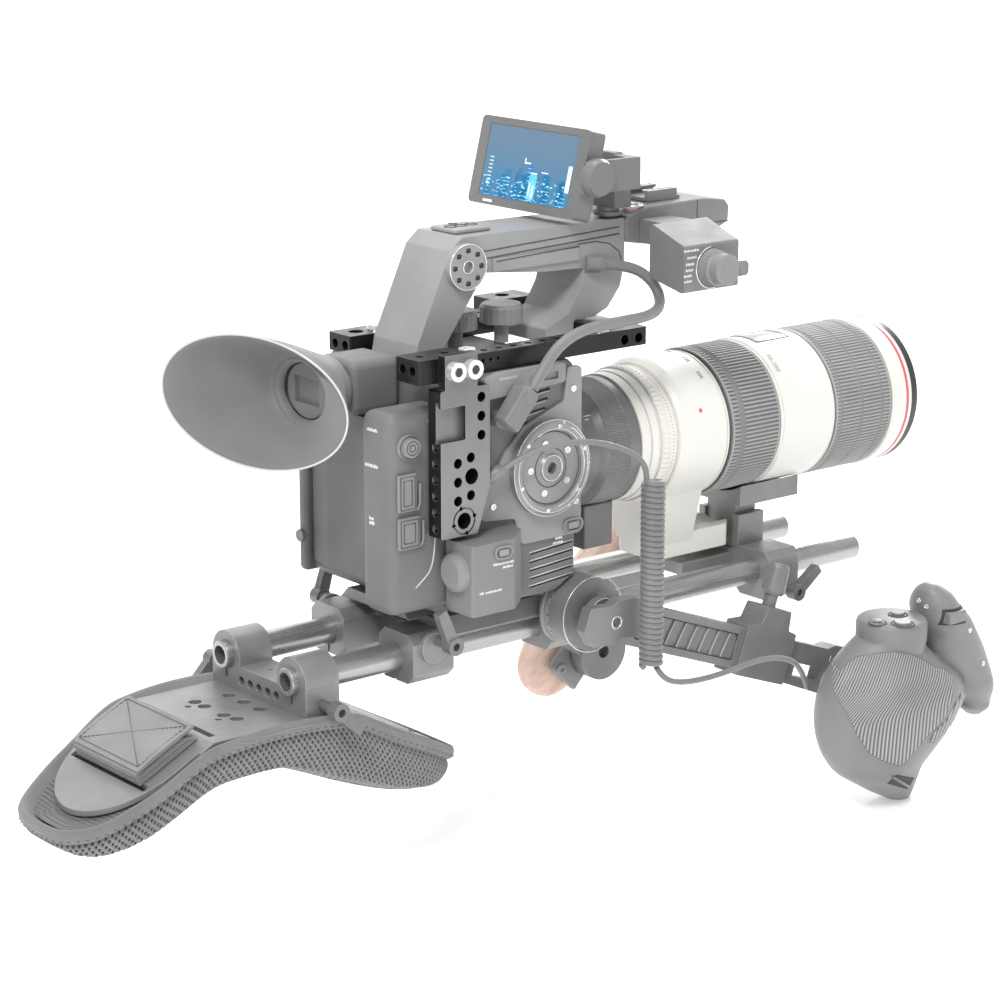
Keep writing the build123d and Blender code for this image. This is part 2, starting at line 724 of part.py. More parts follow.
def lcd_panel():
    """Monitor housing, its screen facing back."""
    shell = block((-5.5, 5.5), (-46, 46), (-24.5, 24.5))
    shell = fillet(shell.edges().filter_by(Axis.X), 3)
    glass = block((-6, -4), (-38, 38), (-20, 20.5))
    return LCD_PLACE * (shell - glass)


def lcd_screen():
    return LCD_PLACE * block((-5.2, -4), (-38, 38), (-20, 20.5))


def lcd_knob():
    """Round tilt knob at the monitor's near edge."""
    profile = [(-56, 0), (-56, 9), (-53, 10.5), (-49.6, 10.5), (-49.6, 4), (-46.1, 4), (-46.1, 0)]
    return LCD_PLACE * turned_y(profile, 0, 0)


def lcd_bracket():
    """Upright bracket that carries the monitor and swivels on the handle."""
    front = [(-21, 221.5), (5, 221.5), (-4, 249), (-7, 252), (-18, 252), (-21, 249)]
    side = [(230.6, 221.5), (230.9, 246), (232, 252), (238, 252), (241, 246), (243, 221.5)]
    upright = front_slab(front, (230, 244), 1) & side_slab(side, (-22, 6), 0.5)
    foot = [(215.7, 0), (215.7, 5), (217.2, 5), (217.2, 8), (219.4, 8), (219.4, 6.5), (222, 6.5), (222, 0)]
    base = turned_z(foot, SWIVEL_X, SWIVEL_Y)
    ear = block((-8, 33), (-49.4, -46.2), (-9, 8.5)) + block((25.6, 33), (-47, -36), (-9, 8.5))
    return upright + base + LCD_AXIS * (ear - bar_y(4 + RUNNING, 0, (-52, -40), 0))


# ---------------------------------------------------------------- viewfinder

def evf_tube():
    """Viewfinder tube along the camera's top, hinged at its upper front edge."""
    return block((55, 87.5), (-16, 16), (129, 158), 5)


def eyepiece():
    """Oval eyepiece with its window."""
    frame = Pos(38, 0, EVF_Z) * Rot(0, 90, 0) * extrude(Ellipse(14.5, 17), 16.8)
    window = block((37, 41), (-11, 11), (EVF_Z - 7, EVF_Z + 7))
    return frame - window


def cup_ring(near, far, half_height, z, inset):
    """Upright oval section of the eyecup between two (X, Y) points."""
    across = Vector(far[0] - near[0], far[1] - near[1], 0)
    middle = ((near[0] + far[0]) / 2, (near[1] + far[1]) / 2, z)
    plane = Plane(origin=middle, x_dir=(0, 0, 1), z_dir=Vector(0, 0, 1).cross(across))
    return plane * Ellipse(half_height - inset, across.length / 2 - inset)


def eyecup():
    """Flared rubber eyecup whose rim slants back on the operator's left."""
    rings = (
        ((52, -20.1), (52, 20.1), 17.6, EVF_Z),
        ((45, -25), (40, 23), 20, EVF_Z),
        ((43.2, -28), (10, 33), 28, EVF_Z - 1.5),
        ((41.8, -30), (-20.6, 42), 35.5, EVF_Z - 3.3),
    )
    wall = 2.4
    outer = loft([cup_ring(*ring, 0) for ring in rings], ruled=True)
    return outer - loft([cup_ring(*ring, wall) for ring in rings], ruled=True)


# ---------------------------------------------------------------- lens support

def lens_support():
    """Rod-mounted base of the lens support with its rear plate and post guide."""
    parts = [front_slab(octagon(side * 31, 0, 14, -16, 13, 4), (332, 356)) for side in (-1, 1)]
    parts.append(block((332, 356), (-20, 20), (-6, 9)))
    parts.append(block((290, 333), (-16, 16), (1, 8)))
    guides = [block((334, 354), y, (9, 30)) for y in ((-17, -12), (12, 17))]
    well = block((335.8, 352.2), (-12, 12), (0, 31))
    return cut_all(join_all(parts + guides), rod_bores((320, 360)) + [well])


def lens_cradle():
    """Sliding post and curved cradle that carry the lens."""
    post = block((336, 352), (-11.9, 11.9), (9.2, 40))
    cradle = block((330, 377), (-22, 22), (37, 54))
    cradle = cradle - bar_x(44.7, (320, 390), 0, LENS_Z)
    return post + cradle - bar_x(44.7, (320, 390), 0, LENS_Z)


# ---------------------------------------------------------------- near-side arm

def extension_arm():
    """Arm with a rosette hub, a ribbed recess, a collar and a channel for the slider."""
    hub = bar_y(ROSETTE_R, 0, (-66, -52.1), 0)
    bar = block((0, 130), (-72, -58), (-12, 12))
    tower = [(112, -15), (112, 14), (122, 17), (124, 27), (143, 27), (145, 16), (152, 15), (152, -15)]
    collar = side_slab(tower, (-75, -57), 1)
    boss = bar_y(11, 0, (-75, -70), 0)
    pocket = block((30, 108), (-73, -71), (-7.5, 7.5))
    ribs = [Pos(38 + 9 * i, -71, 0) * Rot(0, 12, 0) * Box(2, 2.2, 15) for i in range(8)]
    channel = block((50, 160), (-69, -61), (-9, 9))
    arm = join_all([hub, bar, collar, boss]) - channel
    return ARM_PLACE * (join_all([arm - pocket] + ribs) - bar_y(4.05, 0, (-80, -50), 0))


def arm_slider():
    """Sliding end of the arm: a tongue, an open frame with a scale and a pivot disc."""
    tongue = block((62, 156), (-68.7, -61.3), (-8.7, 8.7))
    side = [(156, -14), (156, 11), (186, 11), (192, 14), (214, 14), (214, -14), (192, -16)]
    frame = side_slab(side, (-71, -59))
    window = block((162, 188), (-72, -58), (-9, -1))
    disc = bar_y(13, ARM_SLIDER_END, (-76, -70), 0)
    return ARM_PLACE * ((tongue + frame + disc) - window)


def wing_knob():
    """Wing knob on the rosette's screw."""
    stem = bar_y(4.0, 0, (-78, -53), 0)
    neck = bar_y(8, 0, (-79, -75.1), 0)
    wings = [
        (-21, -9), (-21, 4), (-6, 8), (-3, 12), (12, 16), (21, 9), (21, -4), (6, -8), (3, -12), (-12, -16),
    ]
    body = side_slab(wings, (-86, -79), 2)
    return ARM_PLACE * ((stem + neck + body) - bar_y(2.4, 0, (-87, -84), 0))


def lock_knob():
    """Lock screw standing on the arm's collar."""
    shaft = bar_z(4, 133, -65.5, (27.1, 34))
    head = turned_z([(34, 0), (34, 6), (36, 7), (50, 6.2), (52, 5), (52, 0)], 133, -65.5)
    return ARM_PLACE * (shaft + head)


# ---------------------------------------------------------------- hand grip

def grip_palm():
    """Egg-shaped palm swell: level oval sections as (z, centre X, half length, half width)."""
    sections = [
        (-24, 361, 20, 17), (-32, 356, 28, 20), (-42, 357, 38, 26), (-52, 361, 48, 30),
        (-63, 363, 53, 31.5), (-74, 360, 49.5, 31), (-84, 358, 45, 29), (-93, 355.5, 38, 26),
        (-102, 355, 30, 21.5), (-110, 360, 22.5, 17), (-118, 366, 15, 12), (-125, 372, 7.5, 7),
    ]
    return loft([Pos(x, GRIP_Y, z) * Ellipse(half_x, half_y) for z, x, half_x, half_y in sections])


def hand_grip():
    """Moulded hand grip: the palm swell, a control pod on top and a finger hood in front."""
    pod = bar_z(POD_R, POD_X, GRIP_Y, (-26, POD_TOP))
    front = [
        (383, -10), (390, 1), (402, -2), (418, -30), (428, -68), (424, -86), (410, -88), (398, -62),
        (388, -40),
    ]
    hood = side_slab(front, (HOOD_NEAR, HOOD_FAR), 5)
    seat = bar_y(13, GRIP_PIVOT_X, (-90, -76.2), GRIP_PIVOT_Z)
    gland = turned_plug(GRIP_ENTRY, (332, -96, -64), (2.6, 3.6))
    whole = join_all([grip_palm(), pod, hood, seat, gland])
    rocker_pocket = block(
        (ROCKER_X - 7.6, ROCKER_X + 7.6), (HOOD_NEAR - 4, HOOD_NEAR + 6), (ROCKER_Z - 4, ROCKER_Z + 4)
    )
    pockets = [
        bar_z(5.3, DIAL_X, DIAL_Y, (POD_TOP - 4, 0)),
        bar_z(4.3, BUTTON_X, BUTTON_Y, (POD_TOP - 5.5, 0)),
        rocker_pocket,
    ]
    return cut_all(whole, pockets)


def grip_dial():
    """Dial on top of the grip."""
    low = POD_TOP - 3.5
    top = POD_TOP + 1.6
    return turned_z([(low, 0), (low, 5), (top - 0.5, 5), (top, 4.4), (top, 0)], DIAL_X, DIAL_Y)


def grip_button():
    low = POD_TOP - 3
    top = POD_TOP + 1.8
    return turned_z([(low, 0), (low, 4), (top - 0.6, 4), (top, 3.4), (top, 0)], BUTTON_X, BUTTON_Y)


def grip_rocker():
    """Seesaw rocker in the near face of the hood."""
    return block(
        (ROCKER_X - 7, ROCKER_X + 7), (HOOD_NEAR - 2.2, HOOD_NEAR + 4), (ROCKER_Z - 3.5, ROCKER_Z + 3.5), 1.0
    )


# ---------------------------------------------------------------- far-side arm and wooden grip

def left_arm():
    """Dogbone arm with a disc at each end."""
    near = bar_y(ROSETTE_R, 0, (52.1, 62), 0)
    far = bar_y(17.5, LEFT_ARM_LENGTH, (52.1, 62), 0)
    link = block((10, LEFT_ARM_LENGTH - 8), (53, 61), (-9, 9))
    end_hole = bar_y(4.0, LEFT_ARM_LENGTH, (51, 58), 0)
    return LEFT_PLACE * ((near + far + link) - end_hole)


def left_grip_frame():
    """Metal spine of the wooden grip, with its two screws."""
    plate = block((-52, 45), (63, 68), (-13, 13), 1.5)
    disc = bar_y(15, LEFT_END_X, (62.1, 66), LEFT_END_Z)
    return join_all([WOOD_PLACE * plate, disc] + left_grip_screws())


def left_grip_wood():
    """Rounded wooden hand piece."""
    wood = block((-66, 66), (68.1, 98), (-23, 23), 10)
    return WOOD_PLACE * wood


def left_grip_screws():
    screws = [bar_y(3, x, (61.3, 63), 7) - bar_y(1.5, x, (61, 62), 7) for x in (-48, 2)]
    return [WOOD_PLACE * screw for screw in screws]


# ---------------------------------------------------------------- cords

HANDLE_CABLE = [
    (222, -23, 192), (236, -29, 191), (246, -37, 182), (244, -46, 171), (228, -55, 167.5),
    (199, -60, 168.5), (168, -63, 168), (145, -67, 158), (133, -68.5, 142),
]
UPPER_LEAD = [
    (116, -66, 102), (126, -71, 109), (142, -79, 114), (160, -87, 114), (177, -93.5, 108),
    (187, -96.5, 100), (COIL_X - 4.5, COIL_Y, COIL_TOP),
]
LOWER_LEAD = [
    (COIL_X + 4, COIL_Y, COIL_BOTTOM), (201, -98, -23), (217, -99, -28), (243, -100, -28), (270, -100, -25),
    (292, -99, -28), (309, -96, -38), (318.1, -92.3, -53.6),
]


def cord_radii(route):
    """The largest arc that each corner of a route allows."""
    points = [Vector(*p) for p in route]
    runs = [b - a for a, b in zip(points, points[1:])]
    radii = []
    for before, after in zip(runs, runs[1:]):
        turn = radians(before.get_angle(after))
        radii.append(0.45 * min(before.length, after.length) / tan(turn / 2))
    return radii


def cord(name, route, radius):
    """A tube of straight runs and tangent arcs along a route."""
    radii = cord_radii(route)
    path = FilletPolyline(*route, radius=radii)
    print(name, "radii", [round(r, 1) for r in radii], "length", round(path.length, 1))
    tube = sweep(Plane(origin=path @ 0, z_dir=path % 0) * Circle(radius), path=path)
    expected = pi * radius ** 2 * path.length
    print(name, "volume / expected", round(tube.volume / expected, 4))
    return tube


def cable_plugs():
    """Plugs of the handle cable and of the curly cord, and the handle cable's gland."""
    elbow = Pos(124, -66.2, 133) * Rot(0, -50, 0) * Box(22, 10.5, 12)
    socket_end = bar_y(4.5, 118, (-63, BODY_NEAR - 0.1), 127)
    sleeve_end = turned_plug((128, -67, 137), HANDLE_CABLE[-1], (5, 3.8))
    return [
        fillet(elbow.edges(), 1.5) + sleeve_end + socket_end,
        turned_plug((107.5, -61.5, 97), UPPER_LEAD[0], (4, 2.4)),
        turned_plug((212, -18.5, 192.8), HANDLE_CABLE[0], (4.6, 3.6)),
    ]


def coil():
    """Outer shape of the curly cord."""
    return bar_z(COIL_R, COIL_X, COIL_Y, (COIL_BOTTOM, COIL_TOP))


def build():
    """Makes and writes every node."""
    save("rods", rod(-ROD_Y), rod(ROD_Y))
    save("baseplate", baseplate())
    save("quick_plate", quick_plate())
    save("base_rosettes", *rosette_mounts())
    save("lever_base_right", lever(86, (-48.2, -64), 10, 77.5, 30, -1))
    save("lever_base_left", lever(86, (48.2, 62), 10, 92, 29, 1))
    save("lever_shoulder_right", lever(14.5, (-43.2, -60), -12, 28, -25, -1))
    save("lever_shoulder_left", lever(14.5, (43.2, 62), -12, 1, -25, 1))
    save("lever_support", lever(347, (-45.2, -56), -11, 364, 1, -1))
    save("shoulder_clamp", shoulder_clamp())
    save("shoulder_plate", shoulder_plate())
    save("shoulder_pad", shoulder_pad())
    save("pad_strap", pad_strap())
    save("camera_body", camera_body())
    save("battery", battery())
    save("side_panel", side_panel(), hood_panel())
    save("grip_mount", *grip_mount())
    save("steel_screws", *grip_mount_screws(), *plate_bolts(), *plate_screws())
    save("release_switch", slide_switch(170, 61, -58.1))
    save("input_switch", slide_switch(104, 62, -80.1))
    save("audio_inputs", xlr_housing(), xlr_box())
    fittings = port_covers() + [side_button(), cable_cap(XLR_FACE, XLR_Y, XLR_Z), box_cap()]
    save("side_fittings", *fittings, *switch_frames())
    save("mount_adapter", mount_adapter(), adapter_foot())
    save("lens_barrel", lens_rear_barrel(), lens_mid_barrel(), lens_front_barrel())
    save("tripod_collar", tripod_collar())
    save("zoom_ring", zoom_ring())
    save("focus_ring", focus_ring())
    save("lens_glass", distance_window(), front_element())
    save("red_ring", red_ring())
    save("filter_ring", filter_ring())
    save("top_plate", top_plate())
    save("side_plate", side_plate())
    save("handle_frame", handle_frame(), handle_hub(), control_pad())
    save("handle_module", handle_module(), hot_shoe())
    save("rear_handle_knob", thumb_knob(136, 0))
    save("front_handle_knob", thumb_knob(168, 0))
    save("record_button", record_button())
    save("lcd_bracket", lcd_bracket())
    save("lcd_panel", lcd_panel(), lcd_knob())
    save("lcd_screen", lcd_screen())
    save("evf_tube", evf_tube(), eyepiece())
    save("eyecup", eyecup())
    save("lens_support", lens_support())
    save("lens_cradle", lens_cradle())
    save("extension_arm", extension_arm())
    save("arm_slider", arm_slider())
    save("wing_knob", wing_knob())
    save("lock_knob", lock_knob())
    save("hand_grip", hand_grip())
    save("grip_dial", grip_dial())
    save("grip_button", grip_button())
    save("grip_rocker", grip_rocker())
    save("left_arm", left_arm())
    save("left_grip_frame", left_grip_frame())
    save("left_grip_wood", left_grip_wood())
    save("handle_cable", cord("handle_cable", HANDLE_CABLE, HANDLE_CABLE_R))
    save("upper_lead", cord("upper_lead", UPPER_LEAD, LEAD_R))
    save("lower_lead", cord("lower_lead", LOWER_LEAD, LEAD_R))
    save("curly_coil", coil())
    save("cable_plugs", *cable_plugs())


os.makedirs("parts", exist_ok=True)
build()
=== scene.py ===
"""Looks of the shoulder camera rig: cords, soft parts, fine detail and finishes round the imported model."""
import math
import random

import bmesh
import bpy
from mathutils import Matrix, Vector
from mathutils.bvhtree import BVHTree


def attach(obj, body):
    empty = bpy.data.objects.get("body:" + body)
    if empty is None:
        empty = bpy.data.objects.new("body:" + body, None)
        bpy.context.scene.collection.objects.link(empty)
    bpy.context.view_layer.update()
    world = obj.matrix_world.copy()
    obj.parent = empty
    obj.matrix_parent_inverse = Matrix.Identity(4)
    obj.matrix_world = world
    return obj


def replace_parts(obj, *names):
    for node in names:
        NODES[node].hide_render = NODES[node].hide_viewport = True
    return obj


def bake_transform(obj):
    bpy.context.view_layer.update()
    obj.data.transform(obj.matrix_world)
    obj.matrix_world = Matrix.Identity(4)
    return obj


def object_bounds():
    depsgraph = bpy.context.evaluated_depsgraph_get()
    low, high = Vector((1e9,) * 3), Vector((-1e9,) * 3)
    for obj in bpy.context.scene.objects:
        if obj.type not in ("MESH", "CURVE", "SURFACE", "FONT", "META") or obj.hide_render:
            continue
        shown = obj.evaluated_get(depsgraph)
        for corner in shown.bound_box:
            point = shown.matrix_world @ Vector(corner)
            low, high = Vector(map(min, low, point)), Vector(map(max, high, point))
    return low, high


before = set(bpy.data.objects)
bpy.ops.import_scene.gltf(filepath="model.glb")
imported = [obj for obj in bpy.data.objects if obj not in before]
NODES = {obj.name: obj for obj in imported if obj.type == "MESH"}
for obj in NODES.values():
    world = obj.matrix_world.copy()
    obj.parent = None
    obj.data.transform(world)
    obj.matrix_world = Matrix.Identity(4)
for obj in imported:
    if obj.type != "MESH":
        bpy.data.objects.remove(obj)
CAD_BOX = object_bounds()

MM = 0.001
SOCKET_X, SOCKET_Z = 142.0, -13.0      # the tripod socket in the sketch frame, mm
LENS_Z = 88.0
EVF_Z = 143.0
GRIP_MOUNT = (152.0, 96.0)
ROSETTE = (178.0, 11.0)
ARM_DROP = math.radians(20.3)
WOOD_TILT = math.radians(47)


# --------------- places and meshes

def at(x, y, z):
    """A point of the sketch frame (X from the rods' rear ends, Z from their axes), mm to metres."""
    return Vector(((x - SOCKET_X) * MM, y * MM, (z - SOCKET_Z) * MM))


def piece(name, verts, faces, material, slot, body="rig", smooth=True):
    """A mesh piece that rides on a body. Its points are in metres already."""
    mesh = bpy.data.meshes.new(name)
    mesh.from_pydata([tuple(v) for v in verts], [], faces)
    mesh.validate()
    obj = bpy.data.objects.new(name, mesh)
    bpy.context.scene.collection.objects.link(obj)
    return dress(obj, material, body, smooth)


def dress(obj, material, body="rig", smooth=True):
    """Gives a piece its finish, smooth shading and the body it rides on. A piece given no body is left
    unattached.
    """
    obj.data.materials.clear()
    obj.data.materials.append(material)
    if obj.type == "MESH":
        fix = bmesh.new()
        fix.from_mesh(obj.data)
        bmesh.ops.remove_doubles(fix, verts=fix.verts, dist=1e-7)
        bmesh.ops.recalc_face_normals(fix, faces=fix.faces)
        fix.to_mesh(obj.data)
        fix.free()
        obj.data.polygons.foreach_set("use_smooth", [smooth] * len(obj.data.polygons))
    if body:
        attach(obj, body)
    return obj


def skin(rows, closed=True, caps=False):
    """Vertices and quads of a surface through rows of points, each row a ring when closed."""
    count = len(rows[0])
    verts = [p for row in rows for p in row]
    faces = []
    for i in range(len(rows) - 1):
        for j in range(count if closed else count - 1):
            k = (j + 1) % count
            faces.append((i * count + j, i * count + k, (i + 1) * count + k, (i + 1) * count + j))
    if caps:
        faces.append(tuple(range(count))[::-1])
        faces.append(tuple((len(rows) - 1) * count + j for j in range(count)))
    return verts, faces


def merged(parts):
    """One vertex and face list from several."""
    verts, faces = [], []
    for more_verts, more_faces in parts:
        start = len(verts)
        verts.extend(more_verts)
        faces.extend(tuple(i + start for i in face) for face in more_faces)
    return verts, faces


def sheet_box(corner, size, bevel=0.4):
    """A bevelled box from its low corner and size in sketch millimetres."""
    work = bmesh.new()
    bmesh.ops.create_cube(work, size=1.0)
    middle = [corner[i] + size[i] / 2 for i in range(3)]
    for v in work.verts:
        v.co = at(*[middle[i] + v.co[i] * size[i] for i in range(3)])
    if bevel:
        bmesh.ops.bevel(work, geom=work.edges[:], offset=bevel * MM, segments=2, affect="EDGES")
    verts = [v.co.copy() for v in work.verts]
    work.verts.index_update()
    faces = [tuple(v.index for v in f.verts) for f in work.faces]
    work.free()
    return verts, faces


def turns(count):
    """Angles that divide a full turn evenly."""
    return [2 * math.pi * i / count for i in range(count)]


def turned(profile, centre, axis, steps):
    """A profile of (along, radius) turned about a line through centre, in sketch millimetres."""
    rows = []
    for a in turns(steps):
        row = []
        for along, radius in profile:
            u, v = radius * math.cos(a), radius * math.sin(a)
            point = {"X": (along, u, v), "Y": (u, along, v), "Z": (u, v, along)}[axis]
            row.append(at(*[centre[k] + point[k] for k in range(3)]))
        rows.append(row)
    rows.append(rows[0])
    return skin(rows, closed=False)


def swept(points, radius, sides=10, closed=False):
    """A round tube along points in metres."""
    rows = []
    count = len(points)
    up = Vector((0, 0, 1))
    for i, p in enumerate(points):
        before = points[i - 1] if i or closed else p
        after = points[(i + 1) % count] if i < count - 1 or closed else p
        along = (after - before).normalized()
        if abs(along.dot(up)) > 0.95:
            up = Vector((0, 1, 0)) if abs(along.y) < 0.9 else Vector((1, 0, 0))
        side = along.cross(up).normalized()
        over = side.cross(along)
        up = over
        rows.append([p + (side * math.cos(a) + over * math.sin(a)) * radius for a in turns(sides)])
    if closed:
        rows.append(rows[0])
        return skin(rows)
    return skin(rows, caps=True)


# --------------- shader kit

def rgb(r, g, b):
    """A display colour, 0 to 255, as a linear one."""
    def linear(c):
        c = c / 255
        return c / 12.92 if c <= 0.04045 else ((c + 0.055) / 1.055) ** 2.4
    return (linear(r), linear(g), linear(b), 1.0)


def grey(v):
    return rgb(v, v, v)


def scaled(colour, k):
    return tuple(min(1.0, c * k) for c in colour[:3]) + (1.0,)


class Shader:
    """A node material under construction."""

    def __init__(self, name, rough=0.5, metal=0.0):
        self.mat = bpy.data.materials.new(name)
        self.mat.use_nodes = True
        self.tree = self.mat.node_tree
        self.bsdf = self.tree.nodes["Principled BSDF"]
        self.bsdf.inputs["Roughness"].default_value = rough
        self.bsdf.inputs["Metallic"].default_value = metal
        self.coords = self.tree.nodes.new("ShaderNodeTexCoord").outputs["Object"]

    def feed(self, node, inputs):
        """Links sockets to a node's inputs and sets plain values there."""
        for key, value in dict(inputs).items():
            if isinstance(value, bpy.types.NodeSocket):
                self.tree.links.new(value, node.inputs[key])
            elif value is not None:
                node.inputs[key].default_value = value
        return node

    def node(self, kind, inputs=(), **attributes):
        made = self.tree.nodes.new(kind)
        for key, value in attributes.items():
            setattr(made, key, value)
        return self.feed(made, inputs)

    def stretched(self, x, y, z):
        """Coordinates scaled unevenly, for brushed or ribbed looks."""
        inputs = {0: self.coords, 1: (x, y, z)}
        return self.node("ShaderNodeVectorMath", inputs, operation="MULTIPLY").outputs[0]

    def noise(self, scale, detail=3.0, vector=None, rough=0.55):
        inputs = {"Vector": vector or self.coords, "Scale": scale, "Detail": detail, "Roughness": rough}
        return self.node("ShaderNodeTexNoise", inputs).outputs["Fac"]

    def wave(self, scale, direction):
        inputs = {"Vector": self.coords, "Scale": scale}
        return self.node("ShaderNodeTexWave", inputs, bands_direction=direction).outputs["Fac"]

    def remap(self, value, low, high, to_low=0.0, to_high=1.0):
        inputs = {0: value, 1: low, 2: high, 3: to_low, 4: to_high}
        return self.node("ShaderNodeMapRange", inputs).outputs[0]

    def math(self, operation, a, b):
        return self.node("ShaderNodeMath", {0: a, 1: b}, operation=operation).outputs[0]

    def mix(self, factor, a, b):
        return self.node("ShaderNodeMix", {0: factor, 6: a, 7: b}, data_type="RGBA").outputs[2]

    def drift(self, scale, detail, low, high):
        """A value that wanders between two others over the surface."""
        return self.remap(self.noise(scale, detail), 0.3, 0.7, low, high)

    def part(self, vector, axis):
        """One coordinate of a vector."""
        return self.node("ShaderNodeSeparateXYZ", {0: vector}).outputs[axis]

    def edges(self, radius, low=0.004, high=0.08):
        """How near a surface point is to a sharp edge, and the softened normal there."""
        bevel = self.node("ShaderNodeBevel", {"Radius": radius}, samples=6).outputs[0]
        true = self.node("ShaderNodeNewGeometry").outputs["Normal"]
        dot = self.node("ShaderNodeVectorMath", {0: bevel, 1: true}, operation="DOT_PRODUCT").outputs[1]
        turn = self.math("SUBTRACT", 1.0, dot)
        return self.remap(turn, low, high), bevel

    def edged(self, base, radius, share, colour):
        """A base tone turned to another near sharp edges, as painted edge light, and the softened normal."""
        near, soft = self.edges(radius)
        return self.mix(self.math("MULTIPLY", near, share), base, colour), soft

    def bump(self, height, distance, normal=None):
        inputs = {"Height": height, "Distance": distance, "Strength": 1.0, "Normal": normal}
        return self.node("ShaderNodeBump", inputs).outputs[0]

    def paint(self, colour, rough=None, normal=None, **more):
        self.feed(self.bsdf, {"Base Color": colour, "Roughness": rough, "Normal": normal})
        self.feed(self.bsdf, {key.replace("_", " ").title(): value for key, value in more.items()})
        return self.mat


def moulded(name, colour, rough=0.5, grain=2600, depth=0.00006, lift=1.5, edge=0.0004, mottle=0.1):
    """Moulded plastic: leather-fine grain, slight mottling, painted highlights along sharp edges."""
    s = Shader(name, rough)
    broad = s.remap(s.noise(14, 3), 0.35, 0.65)
    base = s.mix(broad, scaled(colour, 1 - mottle), scaled(colour, 1 + mottle))
    # painted highlight: the colour lifted towards sharp edges
    base, soft = s.edged(base, edge, 0.6, scaled(colour, lift))
    return s.paint(base, s.drift(60, 4, rough - 0.06, rough + 0.08), s.bump(s.noise(grain, 2), depth, soft))


def anodised(name, colour, rough=0.42, metal=0.35, lift=1.9, edge=0.0005):
    """Anodised aluminium: bead-blasted grain, cloudy tone and painted highlights along sharp edges, patchy
    in strength.
    """
    s = Shader(name, rough, metal)
    cloud = s.remap(s.noise(22, 4), 0.35, 0.65)
    base = s.mix(cloud, scaled(colour, 0.88), scaled(colour, 1.12))
    # patchy strength of the painted edge highlight
    patchiness = s.remap(s.noise(130, 3), 0.35, 0.6, 0.35, 0.9)
    base, soft = s.edged(base, edge, patchiness, scaled(colour, lift))
    gloss = s.drift(90, 3, rough - 0.07, rough + 0.07)
    return s.paint(base, gloss, s.bump(s.noise(5200, 2), 0.00003, soft))


def brushed(name, colour, rough=0.28, along="X", metal=0.85):
    """Bright metal with fine lines along one axis, and painted highlights along sharp edges."""
    s = Shader(name, rough, metal)
    scale = {"X": (40, 2600, 2600), "Y": (2600, 40, 2600), "Z": (2600, 2600, 40)}[along]
    lines = s.noise(1.0, 3, s.stretched(*scale))
    base = s.mix(s.remap(lines, 0.3, 0.7), scaled(colour, 0.9), scaled(colour, 1.08))
    base, soft = s.edged(base, 0.0004, 0.5, scaled(colour, 1.3))
    gloss = s.remap(lines, 0.3, 0.7, rough - 0.06, rough + 0.08)
    return s.paint(base, gloss, s.bump(lines, 0.00002, soft))


def rubbery(name, colour, rough=0.62, grain=1800, dust=0.12):
    """Soft rubber with a dry bloom, a fine pebble and painted highlights along sharp edges."""
    s = Shader(name, rough)
    bloom = s.remap(s.noise(18, 5), 0.35, 0.7)
    base = s.mix(bloom, scaled(colour, 1 - dust), scaled(colour, 1 + dust))
    base, soft = s.edged(base, 0.0005, 0.5, scaled(colour, 1.35))
    gloss = s.drift(45, 4, rough - 0.06, rough + 0.1)
    return s.paint(base, gloss, s.bump(s.noise(grain, 3), 0.00005, soft), sheen_weight=0.15)


def lacquer(name, colour):
    """White lens lacquer: a hammered micro texture under a soft gloss, with faint toning and painted shade
    along sharp edges.
    """
    s = Shader(name, 0.38)
    base = s.mix(s.drift(9, 3, 0.0, 1.0), scaled(colour, 0.965), colour)
    base, soft = s.edged(base, 0.0004, 0.35, grey(196))
    return s.paint(base, s.drift(700, 2, 0.32, 0.46), s.bump(s.noise(1500, 2), 0.00004, soft))


def timber(name):
    """Open-grained hardwood, oiled."""
    s = Shader(name, 0.42)
    turn = s.node("ShaderNodeMapping", {"Vector": s.coords, "Rotation": (0, WOOD_TILT, 0)}).outputs[0]
    long = s.node("ShaderNodeVectorMath", {0: turn, 1: (9, 70, 90)}, operation="MULTIPLY").outputs[0]
    rings = s.noise(1.6, 5, long, 0.6)
    pores = s.noise(22, 3, long)
    base = s.mix(s.remap(rings, 0.32, 0.68), rgb(212, 174, 156), rgb(241, 215, 200))
    base = s.mix(s.remap(pores, 0.56, 0.72, 0, 0.55), base, rgb(172, 122, 102))
    return s.paint(base, s.remap(pores, 0.3, 0.7, 0.36, 0.55), s.bump(pores, 0.00012))


def woven(name, colour, pitch=1500, depth=0.00012, rough=0.8):
    """Plain woven webbing: crossed threads with painted shade between them, fuzz and uneven dye."""
    s = Shader(name, rough)
    threads = s.math("MAXIMUM", s.wave(pitch, "X"), s.wave(pitch, "Y"))
    base = s.mix(s.drift(40, 4, 0.0, 1.0), scaled(colour, 0.86), scaled(colour, 1.1))
    # painted shade in the gaps between the threads
    base = s.mix(s.remap(threads, 0.2, 1.0, 0.45, 0.0), base, scaled(colour, 0.45))
    return s.paint(base, rough, s.bump(threads, depth), sheen_weight=0.35)


def glassy(name):
    """Coated front glass."""
    s = Shader(name, 0.05)
    tint = s.mix(s.drift(12, 2, 0.0, 1.0), rgb(90, 110, 140), rgb(120, 96, 140))
    return s.paint(tint, s.drift(200, 2, 0.03, 0.08), coat_weight=1.0, transmission_weight=0.25)


def glow(name, colour, strength, vary=0.25, scale=180):
    """A lit patch of the monitor's picture."""
    s = Shader(name, 0.3)
    tone = s.mix(s.drift(scale, 3, 0.0, 1.0), scaled(colour, 1 - vary), scaled(colour, 1 + vary))
    return s.paint(scaled(colour, 0.4), emission_color=tone, emission_strength=strength)


